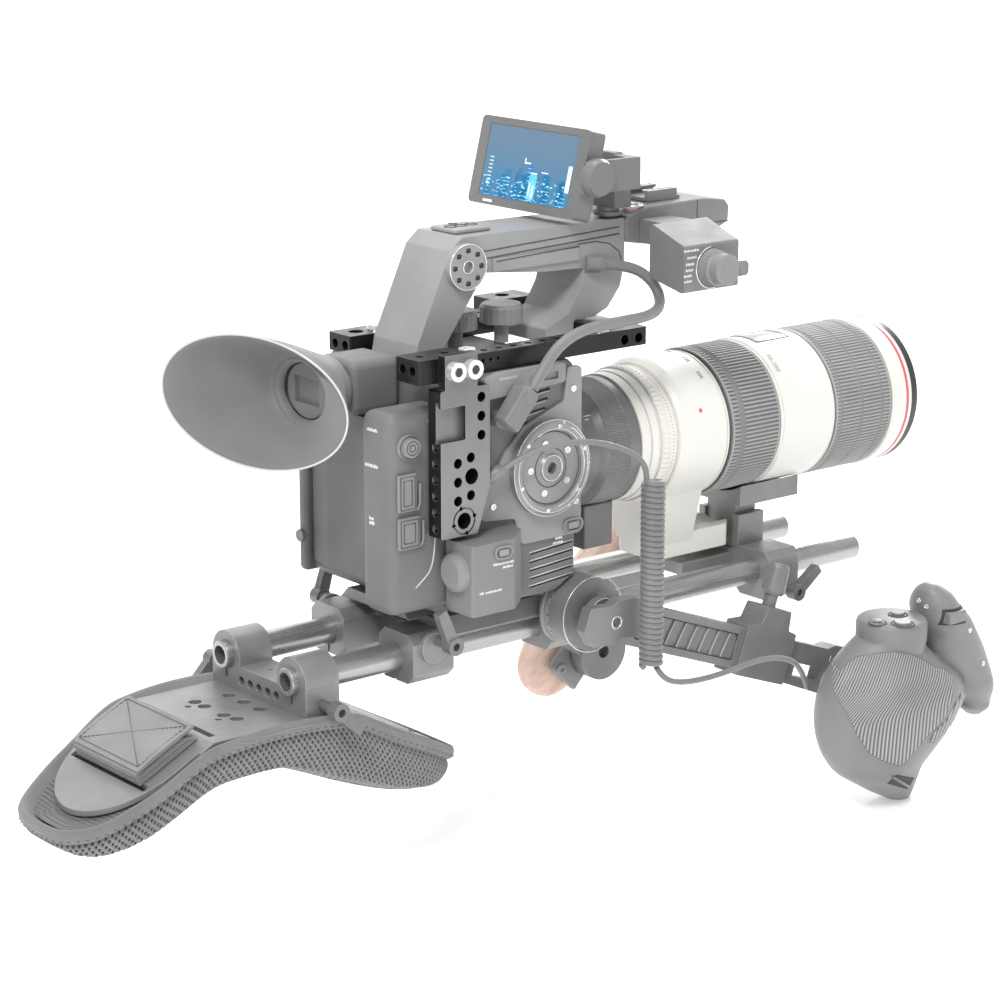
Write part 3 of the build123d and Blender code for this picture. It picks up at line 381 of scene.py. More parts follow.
def painted_light_anodised(name, dark, face):
    """Deep black anodising with painted light on its broad near face, painted shade towards its top and
    painted highlights along sharp edges.
    """
    s = Shader(name, 0.34, 0.35)
    facing = s.node("ShaderNodeNewGeometry").outputs["Normal"]
    near = s.math("ABSOLUTE", s.part(facing, 1), 0.0)
    cloud = s.drift(30, 4, 0.93, 1.05)
    # painted shade: the lit tone darkens towards the top of the plate
    painted_top_shade = s.remap(s.part(s.coords, 2), at(0, 0, 70).z, at(0, 0, 150).z, 1.0, 0.7)
    lit = s.node("ShaderNodeVectorMath", {0: face[:3], 1: s.math("MULTIPLY", cloud, painted_top_shade)},
                 operation="MULTIPLY").outputs[0]
    # painted light: faces turned across the rig take the lit tone, the rest stay black
    base = s.mix(s.remap(near, 0.8, 0.99), dark, lit)
    base, soft = s.edged(base, 0.0004, 0.8, grey(176))
    return s.paint(base, s.drift(90, 3, 0.28, 0.4), s.bump(s.noise(5200, 2), 0.00003, soft))


BODY_DARK = moulded("body_dark", grey(118), 0.55)
PANEL = moulded("body_panel", grey(152), 0.5, grain=3000)
BATTERY = moulded("battery_case", grey(108), 0.58)
FITTING = moulded("fittings", grey(140), 0.5)
KNOB = moulded("knobs", grey(150), 0.45, lift=1.5)
HANDLE = moulded("handle_casing", grey(156), 0.44, grain=3000)
MODULE = moulded("module_casing", grey(130), 0.5)
MONITOR = moulded("monitor_casing", grey(120), 0.4, grain=3600, depth=0.00003)
BLACK = anodised("bridge_black", grey(145))
MID_BLACK = anodised("arm_black", grey(132))
MOUNT = anodised("mount_grey", grey(150), 0.38)
# the black plate's edges lifted 6.5 times: painted white highlights along them
DEEP = anodised("plate_deep_black", grey(34), 0.3, 0.45, 6.5, 0.0004)
# black plate with a painted lit grey on its near face
PLATE_PAINTED_LIGHT = painted_light_anodised("side_plate_painted_light", grey(34), grey(142))
LEVER = anodised("lever_coat", grey(122), 0.34)
ROD = brushed("rod_metal", grey(178), 0.3, "X", 0.75)
STEEL = brushed("screw_steel", grey(236), 0.2, "Y", 0.6)
WHITE = lacquer("lens_lacquer", rgb(237, 235, 229))
ADAPTER = anodised("adapter_metal", grey(130), 0.4)
RUBBER = rubbery("ring_rubber", grey(150), 0.5)
CUP_RUBBER = rubbery("cup_rubber", grey(120), 0.6, 1400)
# pale rubber for the painted highlight round the eyecup's rim
CUP_RIM_HIGHLIGHT = rubbery("cup_rim_highlight", grey(206), 0.5, 1400)
CORD = rubbery("cord_rubber", grey(126), 0.42)
GRIP = moulded("grip_soft", grey(130), 0.42, grain=3200, depth=0.00004)
WOOD = timber("grip_wood")
RED = moulded("red_line", rgb(226, 96, 110), 0.35)
BUTTON = moulded("red_button", rgb(198, 168, 166), 0.35)
RIM = anodised("filter_rim", grey(70), 0.4)
WEB = woven("strap_weave", rgb(158, 160, 162))
PAD_CLOTH = woven("pad_weave", grey(124), 900)
GLASS = glassy("front_glass")

FINISHES = {
    BODY_DARK: ["camera_body", "evf_tube"],
    BATTERY: ["battery"],
    PANEL: ["side_panel"],
    FITTING: ["side_fittings"],
    KNOB: ["release_switch", "input_switch", "rear_handle_knob", "front_handle_knob"],
    GRIP: ["hand_grip", "grip_dial", "grip_rocker", "grip_button"],
    HANDLE: ["handle_frame"],
    MODULE: ["handle_module", "audio_inputs"],
    MONITOR: ["lcd_bracket", "lcd_panel", "lcd_screen"],
    BLACK: ["baseplate", "quick_plate", "shoulder_clamp", "shoulder_plate", "left_grip_frame",
            "lens_support", "lens_cradle"],
    MID_BLACK: ["extension_arm", "arm_slider", "left_arm", "wing_knob", "lock_knob"],
    MOUNT: ["base_rosettes", "grip_mount"],
    DEEP: ["top_plate"],
    PLATE_PAINTED_LIGHT: ["side_plate"],
    LEVER: ["lever_base_right", "lever_base_left", "lever_shoulder_right", "lever_shoulder_left",
            "lever_support"],
    ROD: ["rods"],
    STEEL: ["steel_screws"],
    WHITE: ["lens_barrel", "tripod_collar"],
    ADAPTER: ["mount_adapter"],
    RUBBER: ["zoom_ring", "focus_ring"],
    CUP_RUBBER: ["eyecup"],
    CORD: ["cable_plugs"],
    WOOD: ["left_grip_wood"],
    RED: ["red_ring"],
    BUTTON: ["record_button"],
    RIM: ["filter_ring"],
    WEB: ["pad_strap"],
    PAD_CLOTH: ["shoulder_pad"],
    GLASS: ["lens_glass"],
}
for finish, names in FINISHES.items():
    for node_name in names:
        NODES[node_name].data.materials.clear()
        NODES[node_name].data.materials.append(finish)


# --------------- camera

CAMERA_TURN, CAMERA_RISE = math.radians(39.148), math.radians(14.618)
CAMERA_AIM = (167.1, 0, 63.4)          # sketch frame, mm
CAMERA_AWAY = 1.57315                  # metres from the aim
CAMERA_LENS = 102.51                   # mm, on a 36 mm wide sensor


def camera():
    """Looks at the rig from the rear right, slightly above, with a long lens."""
    turn, rise = CAMERA_TURN, CAMERA_RISE
    forward = Vector((math.sin(turn) * math.cos(rise), math.cos(turn) * math.cos(rise), -math.sin(rise)))
    data = bpy.data.cameras.new("camera")
    data.lens = CAMERA_LENS
    data.sensor_width = 36
    data.clip_end = 20
    view = bpy.data.objects.new("camera", data)
    view.location = at(*CAMERA_AIM) - forward * CAMERA_AWAY
    view.rotation_euler = forward.to_track_quat("-Z", "Y").to_euler()
    bpy.context.scene.collection.objects.link(view)
    bpy.context.scene.camera = view


camera()


# --------------- cords

HANDLE_CABLE = [
    (222, -23, 192), (236, -29, 191), (246, -37, 182), (244, -46, 171), (228, -55, 167.5),
    (199, -60, 168.5), (168, -63, 168), (145, -67, 158), (133, -68.5, 142),
]
UPPER_LEAD = [
    (116, -66, 102), (126, -71, 109), (142, -79, 114), (160, -87, 114), (177, -93.5, 108),
    (187, -96.5, 100), (188.5, -97, 91),
]
LOWER_LEAD = [
    (197, -97, -15), (201, -98, -23), (217, -99, -28), (243, -100, -28), (270, -100, -25),
    (292, -99, -28), (309, -96, -38), (318.1, -92.3, -53.6),
]
COIL_X, COIL_Y, COIL_TOP, COIL_BOTTOM = 193.0, -97.0, 91.0, -15.0
COIL_MEAN_R, COIL_TURNS = 5.2, 34
CABLE_R, LEAD_R = 3.0, 1.6


def spline_curve(name, points):
    """A curve of one NURBS spline with these control points, in metres."""
    data = bpy.data.curves.new(name, "CURVE")
    data.dimensions = "3D"
    data.resolution_u = 8
    spline = data.splines.new("NURBS")
    spline.points.add(len(points) - 1)
    for target, p in zip(spline.points, points):
        target.co = (*p, 1.0)
    spline.order_u = 3
    spline.use_endpoint_u = True
    obj = bpy.data.objects.new(name, data)
    bpy.context.scene.collection.objects.link(obj)
    return obj


def cord_curve(name, points, radius):
    """A round cord along control points; its radius is in millimetres."""
    obj = spline_curve(name, points)
    obj.data.bevel_depth = radius * MM
    obj.data.bevel_resolution = 5
    obj.data.use_fill_caps = True
    return dress(obj, CORD)


def centre_line(points):
    """The line that a cord with these control points follows."""
    probe = spline_curve("probe", points)
    bpy.context.view_layer.update()
    made = bpy.data.meshes.new_from_object(probe)
    line = [v.co.copy() for v in made.vertices]
    bpy.data.meshes.remove(made)
    bpy.data.objects.remove(probe)
    return line


def line_length(points):
    """Length of a line through points, metres."""
    return sum((b - a).length for a, b in zip(points, points[1:]))


def helix():
    """Turns of the curly cord, from its top to its bottom."""
    per_turn = 14
    steps = COIL_TURNS * per_turn
    top, bottom = COIL_TOP - LEAD_R, COIL_BOTTOM + LEAD_R
    points = []
    for i in range(steps + 1):
        a = math.pi + 2 * math.pi * i / per_turn
        z = top + (bottom - top) * i / steps
        points.append(at(COIL_X + COIL_MEAN_R * math.cos(a), COIL_Y + COIL_MEAN_R * math.sin(a), z))
    return points


def cords():
    """The handle's cable, and the curly cord with its straight lower lead."""
    route = [at(*p) for p in HANDLE_CABLE]
    cable = cord_curve("handle_cable_line", route, CABLE_R)
    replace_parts(cable, "handle_cable")
    length = line_length(centre_line(route))

    route = [at(*p) for p in UPPER_LEAD] + helix()
    curly = cord_curve("curly_cord", route, LEAD_R)
    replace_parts(curly, "upper_lead", "curly_coil")
    length = line_length(centre_line(route))

    line = centre_line([at(*p) for p in LOWER_LEAD])
    lead = piece("grip_lead", *swept(line, LEAD_R * MM, 12), CORD, "cord_black", body=None)
    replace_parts(lead, "lower_lead")
    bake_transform(lead)


cords()


# --------------- eyecup

CUP_STEPS = 96


def eyecup():
    """Flared rubber cup: a rounded rim on a slant, a lip round the throat and a short collar."""
    def ring(near, far, half_height, z, lean=0.0):
        """Oval between two plan points; lean shears its top towards the far side."""
        across = Vector((far[0] - near[0], far[1] - near[1]))
        half = across.length / 2
        way = across.normalized()
        mid = ((near[0] + far[0]) / 2, (near[1] + far[1]) / 2)
        row = []
        for a in turns(CUP_STEPS):
            u = half * math.cos(a) + lean * math.sin(a)
            v = half_height * math.sin(a)
            row.append(at(mid[0] + way.x * u, mid[1] + way.y * u, z + v))
        return row

    outside = [
        ring((52, -19.6), (52, 19.6), 17.2, EVF_Z),
        ring((48, -20.6), (48, 20.6), 18, EVF_Z),
        ring((45, -24), (40, 23.4), 20, EVF_Z),
        ring((43.6, -27), (26, 27.5), 24.5, EVF_Z - 0.8, 3),
        ring((42.6, -29), (8, 34), 30, EVF_Z - 2, 7),
        ring((42.0, -30), (-10, 39.6), 34, EVF_Z - 3, 9.4),
        ring((41.8, -30.6), (-20.6, 42.6), 35.6, EVF_Z - 3.3, 10),
    ]
    inside = [
        ring((40.6, -30.4), (-21.8, 42.4), 35.4, EVF_Z - 3.3, 10),
        ring((40.4, -29.2), (-21.6, 41.0), 34.0, EVF_Z - 3.3, 9.8),
        ring((39.6, -28), (-8, 36.6), 31.2, EVF_Z - 2.8, 9),
        ring((38.4, -26.6), (10, 31), 27, EVF_Z - 2, 6.4),
        ring((37.4, -25.4), (24, 26.6), 22.8, EVF_Z - 1, 3.4),
        ring((36.4, -24.6), (32, 24.4), 19.6, EVF_Z - 0.4, 1.4),
        ring((34.6, -23.4), (33.4, 23), 18.2, EVF_Z, 0.6),
        ring((33.8, -22.2), (33, 21.8), 17.0, EVF_Z),
        ring((34.4, -20.8), (34, 20.4), 15.8, EVF_Z),
        ring((36, -20.0), (36, 19.8), 15.2, EVF_Z),
        ring((37.6, -19.6), (37.6, 19.6), 14.9, EVF_Z),
    ]
    verts, faces = skin(outside + inside)
    cup = piece("eyecup_rubber", verts, faces, CUP_RUBBER, "eyecup_rubber", "viewfinder")
    smooth = cup.modifiers.new("smooth", "SUBSURF")
    smooth.levels = smooth.render_levels = 1
    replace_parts(cup, "eyecup")
    # a pale tube round the rim: painted highlight where the rim catches the light
    lip = swept(inside[0], 0.6 * MM, 8, closed=True)
    piece("eyecup_rim_highlight", *lip, CUP_RIM_HIGHLIGHT, "eyecup_rubber", "viewfinder")


eyecup()


# --------------- curves and outlines

def along_line(points, x):
    """Height at x on a soft curve through (x, height) points in order."""
    if x <= points[0][0]:
        return points[0][1]
    for i in range(len(points) - 1):
        x0, y0 = points[i]
        x1, y1 = points[i + 1]
        if x <= x1:
            before = points[max(i - 1, 0)]
            after = points[min(i + 2, len(points) - 1)]
            slope0 = (y1 - before[1]) / (x1 - before[0])
            slope1 = (after[1] - y0) / (after[0] - x0)
            h = x1 - x0
            t = (x - x0) / h
            a, b = 2 * t**3 - 3 * t**2 + 1, t**3 - 2 * t**2 + t
            c, d = -2 * t**3 + 3 * t**2, t**3 - t**2
            return a * y0 + b * h * slope0 + c * y1 + d * h * slope1
    return points[-1][1]


def ease(low, high, v):
    """A smooth step from 0 at low to 1 at high."""
    t = min(1.0, max(0.0, (v - low) / (high - low)))
    return t * t * (3 - 2 * t)


def pulse(angle, sharp=3.0):
    """A rounded square wave from 0 to 1."""
    return 0.5 + 0.5 * math.tanh(sharp * math.sin(angle)) / math.tanh(sharp)


def even_loop(points, count):
    """A closed plan outline resampled evenly: positions, outward normals and the step."""
    loop = points + [points[0]]
    lengths = [0.0]
    for a, b in zip(loop, loop[1:]):
        lengths.append(lengths[-1] + math.dist(a, b))
    total, k, found = lengths[-1], 0, []
    for i in range(count):
        want = total * i / count
        while lengths[k + 1] < want:
            k += 1
        t = (want - lengths[k]) / (lengths[k + 1] - lengths[k])
        a, b = loop[k], loop[k + 1]
        found.append((a[0] + (b[0] - a[0]) * t, a[1] + (b[1] - a[1]) * t))
    normals = []
    for i in range(count):
        a, b = found[i - 3], found[(i + 3) % count]
        d = math.dist(a, b)
        normals.append(((b[1] - a[1]) / d, (a[0] - b[0]) / d))
    return found, normals, total / count


def painted_hollow_shade(obj, values):
    """Stores how deep in a hollow each point lies, for its finish to darken there with painted shade."""
    layer = obj.data.attributes.new("hollow", "FLOAT", "POINT")
    layer.data.foreach_set("value", values)


def hollow_shaded_cloth(name, colour, dark, pitch, rough=0.8):
    """Cloth with painted shade in its stored hollows."""
    s = Shader(name, rough)
    depth = s.node("ShaderNodeAttribute", attribute_name="hollow").outputs["Fac"]
    threads = s.math("MAXIMUM", s.wave(pitch, "X"), s.wave(pitch, "Z"))
    base = s.mix(s.drift(60, 4, 0.0, 1.0), scaled(colour, 0.9), scaled(colour, 1.1))
    # painted shade: towards the dark tone in the hollows
    base = s.mix(depth, base, dark)
    return s.paint(base, rough, s.bump(threads, 0.00008), sheen_weight=0.3)


# --------------- shoulder pad and strap

PAD_TOP = [
    (-130, -58), (-124, -56.5), (-114, -53.4), (-88, -40.6), (-52, -22.4), (26, -22.4), (62, -39.5),
    (90, -53.6), (106, -62.4), (118, -69),
]
PAD_LOW = [
    (-130, -66), (-124, -68.5), (-112, -69), (-92, -64), (-76, -56), (-56, -45.5), (-40, -42.5),
    (-10, -43), (4, -48), (30, -59.5), (60, -71), (90, -79), (108, -79.5), (118, -77),
]
PAD_LOOP, STITCH_STEP = 1200, 9         # points round the outline, and from stitch to stitch
PAD_MIDDLE, PAD_HALF, PAD_HALF_WIDTH = -6.5, 123.0, 47.0
# grey(62) and grey(66): painted shade in the mesh's holes and between the lining's ribs
MESH_CLOTH = hollow_shaded_cloth("mesh_cloth", grey(142), grey(62), 2200)
RIB_CLOTH = hollow_shaded_cloth("rib_cloth", grey(128), grey(66), 2600)
PIPING = woven("piping", grey(134), 1700, 0.0001)
THREAD = rubbery("thread", grey(112), 0.7)


def pad_outline():
    """Plan outline of the pad, a rounded oblong a little wider at its ends."""
    points = []
    for a in turns(720):
        c, s = math.cos(a), math.sin(a)
        x = PAD_MIDDLE + PAD_HALF * math.copysign(abs(c) ** 0.75, c)
        y = PAD_HALF_WIDTH * math.copysign(abs(s) ** 0.62, s)
        points.append((x, y * (1 + 0.03 * abs(c))))
    return even_loop(points, PAD_LOOP)


def pad_ring(loop, inset, height, mix=0.0, lift=0.0):
    """One ring of the pad: inset from the outline, at a share of the way from top to bottom."""
    ring = []
    for (x, y), (nx, ny) in zip(*loop[:2]):
        px, py = x - nx * inset, y - ny * inset
        top, low = along_line(PAD_TOP, x), along_line(PAD_LOW, x)
        ring.append(at(px, py, top + height + (low - top) * mix + lift))
    return ring


def pad_binding(loop):
    """Bound rim that flares out round the top edge."""
    section = [
        (6, 0.2), (3.4, 1.4), (1.2, 3.9), (-0.6, 4.7), (-2.2, 4.3), (-2.9, 2.6), (-2.6, -0.6),
        (-1.6, -2.4), (0.4, -3.4), (3.0, -3.2),
    ]
    rows = [pad_ring(loop, inset, height) for inset, height in section]
    piece("pad_binding", *skin(rows), PIPING, "pad_foam", "shoulder_mount")
    stitches = []
    for i in range(0, PAD_LOOP, STITCH_STEP):
        (x, y), (nx, ny) = loop[0][i], loop[1][i]
        tx, ty = -ny, nx
        z = along_line(PAD_TOP, x) - 1.4
        ends = [at(x + nx * 2.5 + tx * way, y + ny * 2.5 + ty * way, z) for way in (-0.9, 0.9)]
        stitches.append(swept(ends, 0.28 * MM, 6))
    piece("pad_stitches", *merged(stitches), THREAD, "pad_foam", "shoulder_mount")


def pad_walls(loop):
    """Mesh cloth round the sides and under the pad, with its staggered oval holes in painted shade, and a
    light even painted shade on the rows underneath.
    """
    rows, hollows = [], []
    levels = 60
    step = loop[2]
    for k in range(levels + 1):
        f = k / levels
        belly = 1.6 * math.sin(math.pi * min(1, f * 1.1)) - 0.6
        inset = 1.0 - belly + 8 * ease(0.82, 1.0, f) ** 2 + 3 * f * f
        ring = []
        for i, ((x, y), (nx, ny)) in enumerate(zip(*loop[:2])):
            top, low = along_line(PAD_TOP, x) - 2.6, along_line(PAD_LOW, x)
            down = f * (top - low)
            hole = math.cos(2 * math.pi * i * step / 3.4) * math.cos(2 * math.pi * down / 4.6)
            deep = ease(0.12, 0.6, hole) * ease(0.5, 2.5, down)
            px, py = x - nx * (inset + 1.2 * deep), y - ny * (inset + 1.2 * deep)
            ring.append(at(px, py, top - down + 0.5 * deep))
            hollows.append(deep)
        rows.append(ring)
    for inset in (14, 17, 20, 24, 28, 32, 36, 40, 43):
        ring = pad_ring(loop, inset, 0, 1.0, -1.2 * ease(8, 30, inset))
        rows.append(ring)
        hollows.extend([0.15] * PAD_LOOP)
    walls = piece("pad_mesh_cloth", *skin(rows), MESH_CLOTH, "pad_foam", "shoulder_mount")
    painted_hollow_shade(walls, hollows)
    return walls


def pad_lining(loop):
    """Ribbed cloth inside the rim, under the plate, with painted shade between the ribs."""
    rows, hollows = [], []
    for inset in [5.3] + [6 + 1.3 * k for k in range(31)]:
        ring = []
        for (x, y), (nx, ny) in zip(*loop[:2]):
            px, py = x - nx * inset, y - ny * inset
            rib = 0.5 + 0.5 * math.cos(2 * math.pi * px / 2.3)
            dish = -0.8 * ease(5, 16, inset)
            ring.append(at(px, py, along_line(PAD_TOP, px) + dish + 0.45 * rib))
            hollows.append(0.9 - 0.9 * rib)
        rows.append(ring)
    lining = piece("pad_lining", *skin(rows), RIB_CLOTH, "pad_foam", "shoulder_mount")
    painted_hollow_shade(lining, hollows)


def shoulder_pad():
    loop = pad_outline()
    walls = pad_walls(loop)
    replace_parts(walls, "shoulder_pad")
    pad_binding(loop)
    pad_lining(loop)


STRAP_REAR, STRAP_FRONT = (-88.5, -36.0), (-53.0, -18.2)
STRAP_UP = Vector((-0.447, 0, 0.894))


def strap_point(share, y, height):
    """A point on the strap: share of the way forward, across, and height off the plate."""
    x = STRAP_REAR[0] + (STRAP_FRONT[0] - STRAP_REAR[0]) * share + STRAP_UP.x * height
    z = STRAP_REAR[1] + (STRAP_FRONT[1] - STRAP_REAR[1]) * share + STRAP_UP.z * height
    return at(x, y, z)


def webbing(name, span, half_width, height, thick, sag=0.0):
    """One layer of webbing with a frayed, slightly wavy edge."""
    shake = random.Random(name)
    across, ahead = 48, 26
    top, low = [], []
    for i in range(ahead + 1):
        share = span[0] + (span[1] - span[0]) * i / ahead
        top_row, low_row = [], []
        for j in range(across + 1):
            y = half_width * (2 * j / across - 1)
            wave = sag * math.sin(math.pi * i / ahead) + 0.12 * shake.random()
            top_row.append(strap_point(share, y, height + thick + wave))
            low_row.append(strap_point(share, y, height + wave * 0.6))
        top.append(top_row)
        low.append(low_row[::-1])
    rows = [a + b for a, b in zip(top, low)]
    verts, faces = skin(rows)
    count = len(rows[0])
    for row in (0, ahead):
        base = row * count
        for j in range(across):
            faces.append((base + j, base + j + 1, base + count - 2 - j, base + count - 1 - j))
    return piece(name, verts, faces, WEB, "strap_web", "shoulder_mount", smooth=False)


def stitch_line(a, b, height):
    """A run of short stitches between two (share, y) places on the strap."""
    run = math.hypot((b[0] - a[0]) * 40, b[1] - a[1])
    count = max(2, int(run / 2.6))
    parts = []
    for i in range(count):
        ends = [strap_point(a[0] + (b[0] - a[0]) * t, a[1] + (b[1] - a[1]) * t, height)
                for t in ((i + 0.15) / count, (i + 0.8) / count)]
        parts.append(swept(ends, 0.3 * MM, 6))
    return parts


def pad_strap():
    """Stack of webbing through the slots, its top layer stitched with a boxed cross."""
    for k in range(6):
        span = (0.01 * (k % 2), 0.97 - 0.035 * k)
        webbing(f"strap_layer_{k}", span, 30.2 - 0.3 * (k % 3), 0.35 + 1.12 * k, 0.78)
    patch = webbing("strap_patch", (0.05, 1.0), 31.0, 7.1, 1.3, 0.8)
    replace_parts(patch, "pad_strap")
    corners = [(0.11, -28.2), (0.94, -28.2), (0.94, 28.2), (0.11, 28.2)]
    lines = []
    for a, b in zip(corners, corners[1:] + corners[:1]):
        lines.extend(stitch_line(a, b, 9.15))
    lines.extend(stitch_line(corners[0], corners[2], 9.2))
    lines.extend(stitch_line(corners[1], corners[3], 9.2))
    piece("strap_stitches", *merged(lines), THREAD, "strap_web", "shoulder_mount")


shoulder_pad()
pad_strap()


# --------------- lens rings and marks

def ribbed_ring(name, node, x, radius, core, count, breaks, depth=0.75):
    """Rubber ring with ribs along the lens, broken by bands of half-pitch ribs."""
    kinds = {
        "core": lambda a: core,
        "edge": lambda a: radius - 0.8,
        "land": lambda a: radius - 0.1,
        "ribs": lambda a: radius - depth * (1 - pulse(a * count)),
        "half": lambda a: radius - 0.25 - 0.5 * depth * (1 - pulse(a * count * 2, 1.5)),
    }
    low, high = x
    stations = [(low, "core"), (low, "edge"), (low + 0.7, "land"), (low + 1.6, "land"), (low + 1.9, "ribs")]
    for a, b in breaks:
        stations += [(a, "ribs"), (a + 0.25, "half"), (b - 0.25, "half"), (b, "ribs")]
    stations += [(high - 1.9, "ribs"), (high - 1.6, "land"), (high - 0.7, "land"), (high, "edge"),
                 (high, "core")]
    rows = []
    for along, kind in stations:
        reaches = [(a, kinds[kind](a)) for a in turns(count * 8)]
        rows.append([at(along, r * math.cos(a), LENS_Z + r * math.sin(a)) for a, r in reaches])
    verts, faces = skin(rows)
    ring = piece(name, verts, faces, RING_RUBBER, "ribbed_rubber", node.split("_")[0], smooth=False)
    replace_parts(ring, node)


def on_barrel(x, radius, angle):
    """A point on a ring of the lens; the angle runs from the top towards the near side."""
    return at(x, -radius * math.sin(angle), LENS_Z + radius * math.cos(angle))


def barrel_text(name, text, x, radius, angle, size, ink):
    """Figures laid on a barrel, their tops towards the front of the lens."""
    data = bpy.data.curves.new(name + "_line", "FONT")
    data.body = text
    data.size = size
    data.extrude = 0.04
    data.space_character = 1.1
    writing = bpy.data.objects.new(name + "_line", data)
    bpy.context.scene.collection.objects.link(writing)
    bpy.context.view_layer.update()
    mesh = bpy.data.meshes.new_from_object(writing)
    bpy.data.objects.remove(writing)
    work = bmesh.new()
    work.from_mesh(mesh)
    bmesh.ops.triangulate(work, faces=work.faces)
    bmesh.ops.subdivide_edges(work, edges=[e for e in work.edges if e.calc_length() > 1.0], cuts=2)
    verts = []
    for v in work.verts:
        turn = math.radians(angle) + v.co.x / radius
        verts.append(on_barrel(x + v.co.y, radius + 0.03 + v.co.z, turn))
    work.verts.index_update()
    faces = [tuple(v.index for v in f.verts) for f in work.faces]
    work.free()
    bpy.data.meshes.remove(mesh)
    piece(name, verts, faces, ink, "lens_white", smooth=False)


def barrel_dot(x, radius, angle, sunk_by, proud, size, sides):
    """A round dot on the lens; its depth, height and radius are in metres."""
    centre = on_barrel(x, radius, angle)
    out = (centre - at(x, 0, LENS_Z)).normalized()
    return swept([centre - out * sunk_by, centre + out * proud], size, sides)


def lens_dots():
    """Dotted index line behind the collar and the alignment dot on it."""
    dots = [barrel_dot(261.6, 38.42, a, 0.0002, 0.00006, 0.00032, 8) for a in turns(118)]
    piece("lens_dots", *merged(dots), INK, "lens_white")
    mark = barrel_dot(281, 42.3, math.radians(67), 0.0005, 0.00012, 0.0013, 24)
    piece("collar_dot", *mark, RED, "lens_white")


def toothed_band(name, stations, teeth, per_tooth, height, finish, slot):
    """Band of rounded teeth round the lens, through stations of (x, root radius, 1 where teeth stand)."""
    rows = []
    for x, root, tall in stations:
        rows.append([on_barrel(x, root + height * tall * pulse(a * teeth, 2), a)
                     for a in turns(teeth * per_tooth)])
    piece(name, *skin(rows), finish, slot, smooth=False)


def scalloped_band():
    """Milled white band of the mount ring."""
    stations = [(x, 38.45, tall) for x, tall in ((253.4, 0), (254.2, 1), (258.4, 1), (259.2, 0))]
    toothed_band("mount_scallops", stations, 84, 8, 0.75, WHITE, "lens_white")


def adapter_knurl():
    """Fine ribs round the adapter, with index marks behind them."""
    cone = [(212, 31.5), (216, 34.5), (236, 35.5)]
    stations = [(x, along_line(cone, x) + 0.05, tall)
                for x, tall in ((216.6, 0), (217.2, 1), (232.4, 1), (233, 0))]
    toothed_band("adapter_knurl", stations, 150, 6, 0.55, ADAPTER, "adapter_black")
    marks = []
    for angle, low, high in ((48, 207, 213), (52, 207, 210), (20, 207, 213), (-16, 207, 213)):
        a = math.radians(angle)
        base = [on_barrel(x, 31.6, a) for x in (low, high)]
        marks.append(swept(base, 0.0003, 6))
    piece("adapter_marks", *merged(marks), LABEL, "adapter_black")


def distance_scale():
    """Clear scale window on top of the lens, in a thin dark frame."""
    rows = []
    for x in (351.4, 352.2, 375.8, 376.6):
        ring = []
        for i in range(17):
            a = math.radians(-13.5 + 27 * i / 16)
            deep = 0.0 if x in (351.4, 376.6) else 0.15
            ring.append(on_barrel(x, 43.85 + deep, a))
        rows.append(ring)
    piece("distance_window", *skin(rows, closed=False), WINDOW, "glass")
    corners = [(350.8, -14.2), (377.2, -14.2), (377.2, 14.2), (350.8, 14.2)]
    path = []
    for a, b in zip(corners, corners[1:] + corners[:1]):
        for i in range(8):
            t = i / 8
            place = (a[0] + (b[0] - a[0]) * t, a[1] + (b[1] - a[1]) * t)
            path.append(on_barrel(place[0], 43.8, math.radians(place[1])))
    piece("distance_frame", *swept(path, 0.00045, 8, closed=True), INK, "lens_white")


def rings_at(name, places, material, thick):
    """Thin raised or inked rings round the lens at (x, radius)."""
    parts = []
    for x, radius in places:
        path = [on_barrel(x, radius, a) for a in turns(128)]
        parts.append(swept(path, thick * MM, 6, closed=True))
    piece(name, *merged(parts), material, "lens_white")


def ribbed_rubber(name):
    """Rubber that is pale on its ribs, with painted shade between them."""
    s = Shader(name, 0.5)
    axis = s.node("ShaderNodeVectorMath", {0: s.coords, 1: tuple(at(0, 0, LENS_Z))}, operation="SUBTRACT")
    flat = s.node("ShaderNodeVectorMath", {0: axis.outputs[0], 1: (0, 1, 1)}, operation="MULTIPLY")
    reach = s.node("ShaderNodeVectorMath", {0: flat.outputs[0]}, operation="LENGTH").outputs[1]
    middle = at(363, 0, 0).x
    outer = s.remap(s.part(s.coords, 0), middle - 0.001, middle + 0.001, 0.0432, 0.0442)
    depth = s.math("SUBTRACT", outer, reach)
    dust = s.drift(50, 4, 0.0, 1.0)
    base = s.mix(dust, grey(160), grey(172))
    # painted shade: darker the deeper a point lies between the ribs
    base = s.mix(s.remap(depth, 0.00012, 0.00062), base, grey(118))
    return s.paint(base, s.remap(dust, 0, 1, 0.44, 0.6), s.bump(s.noise(2600, 2), 0.00004),
                   sheen_weight=0.1)


INK = moulded("ink_dark", grey(128), 0.5, mottle=0.04)
LABEL = moulded("ink_white", grey(250), 0.5, mottle=0.03)
WINDOW = anodised("scale_window", grey(150), 0.12, 0.2)
RING_RUBBER = ribbed_rubber("ring_ribs")


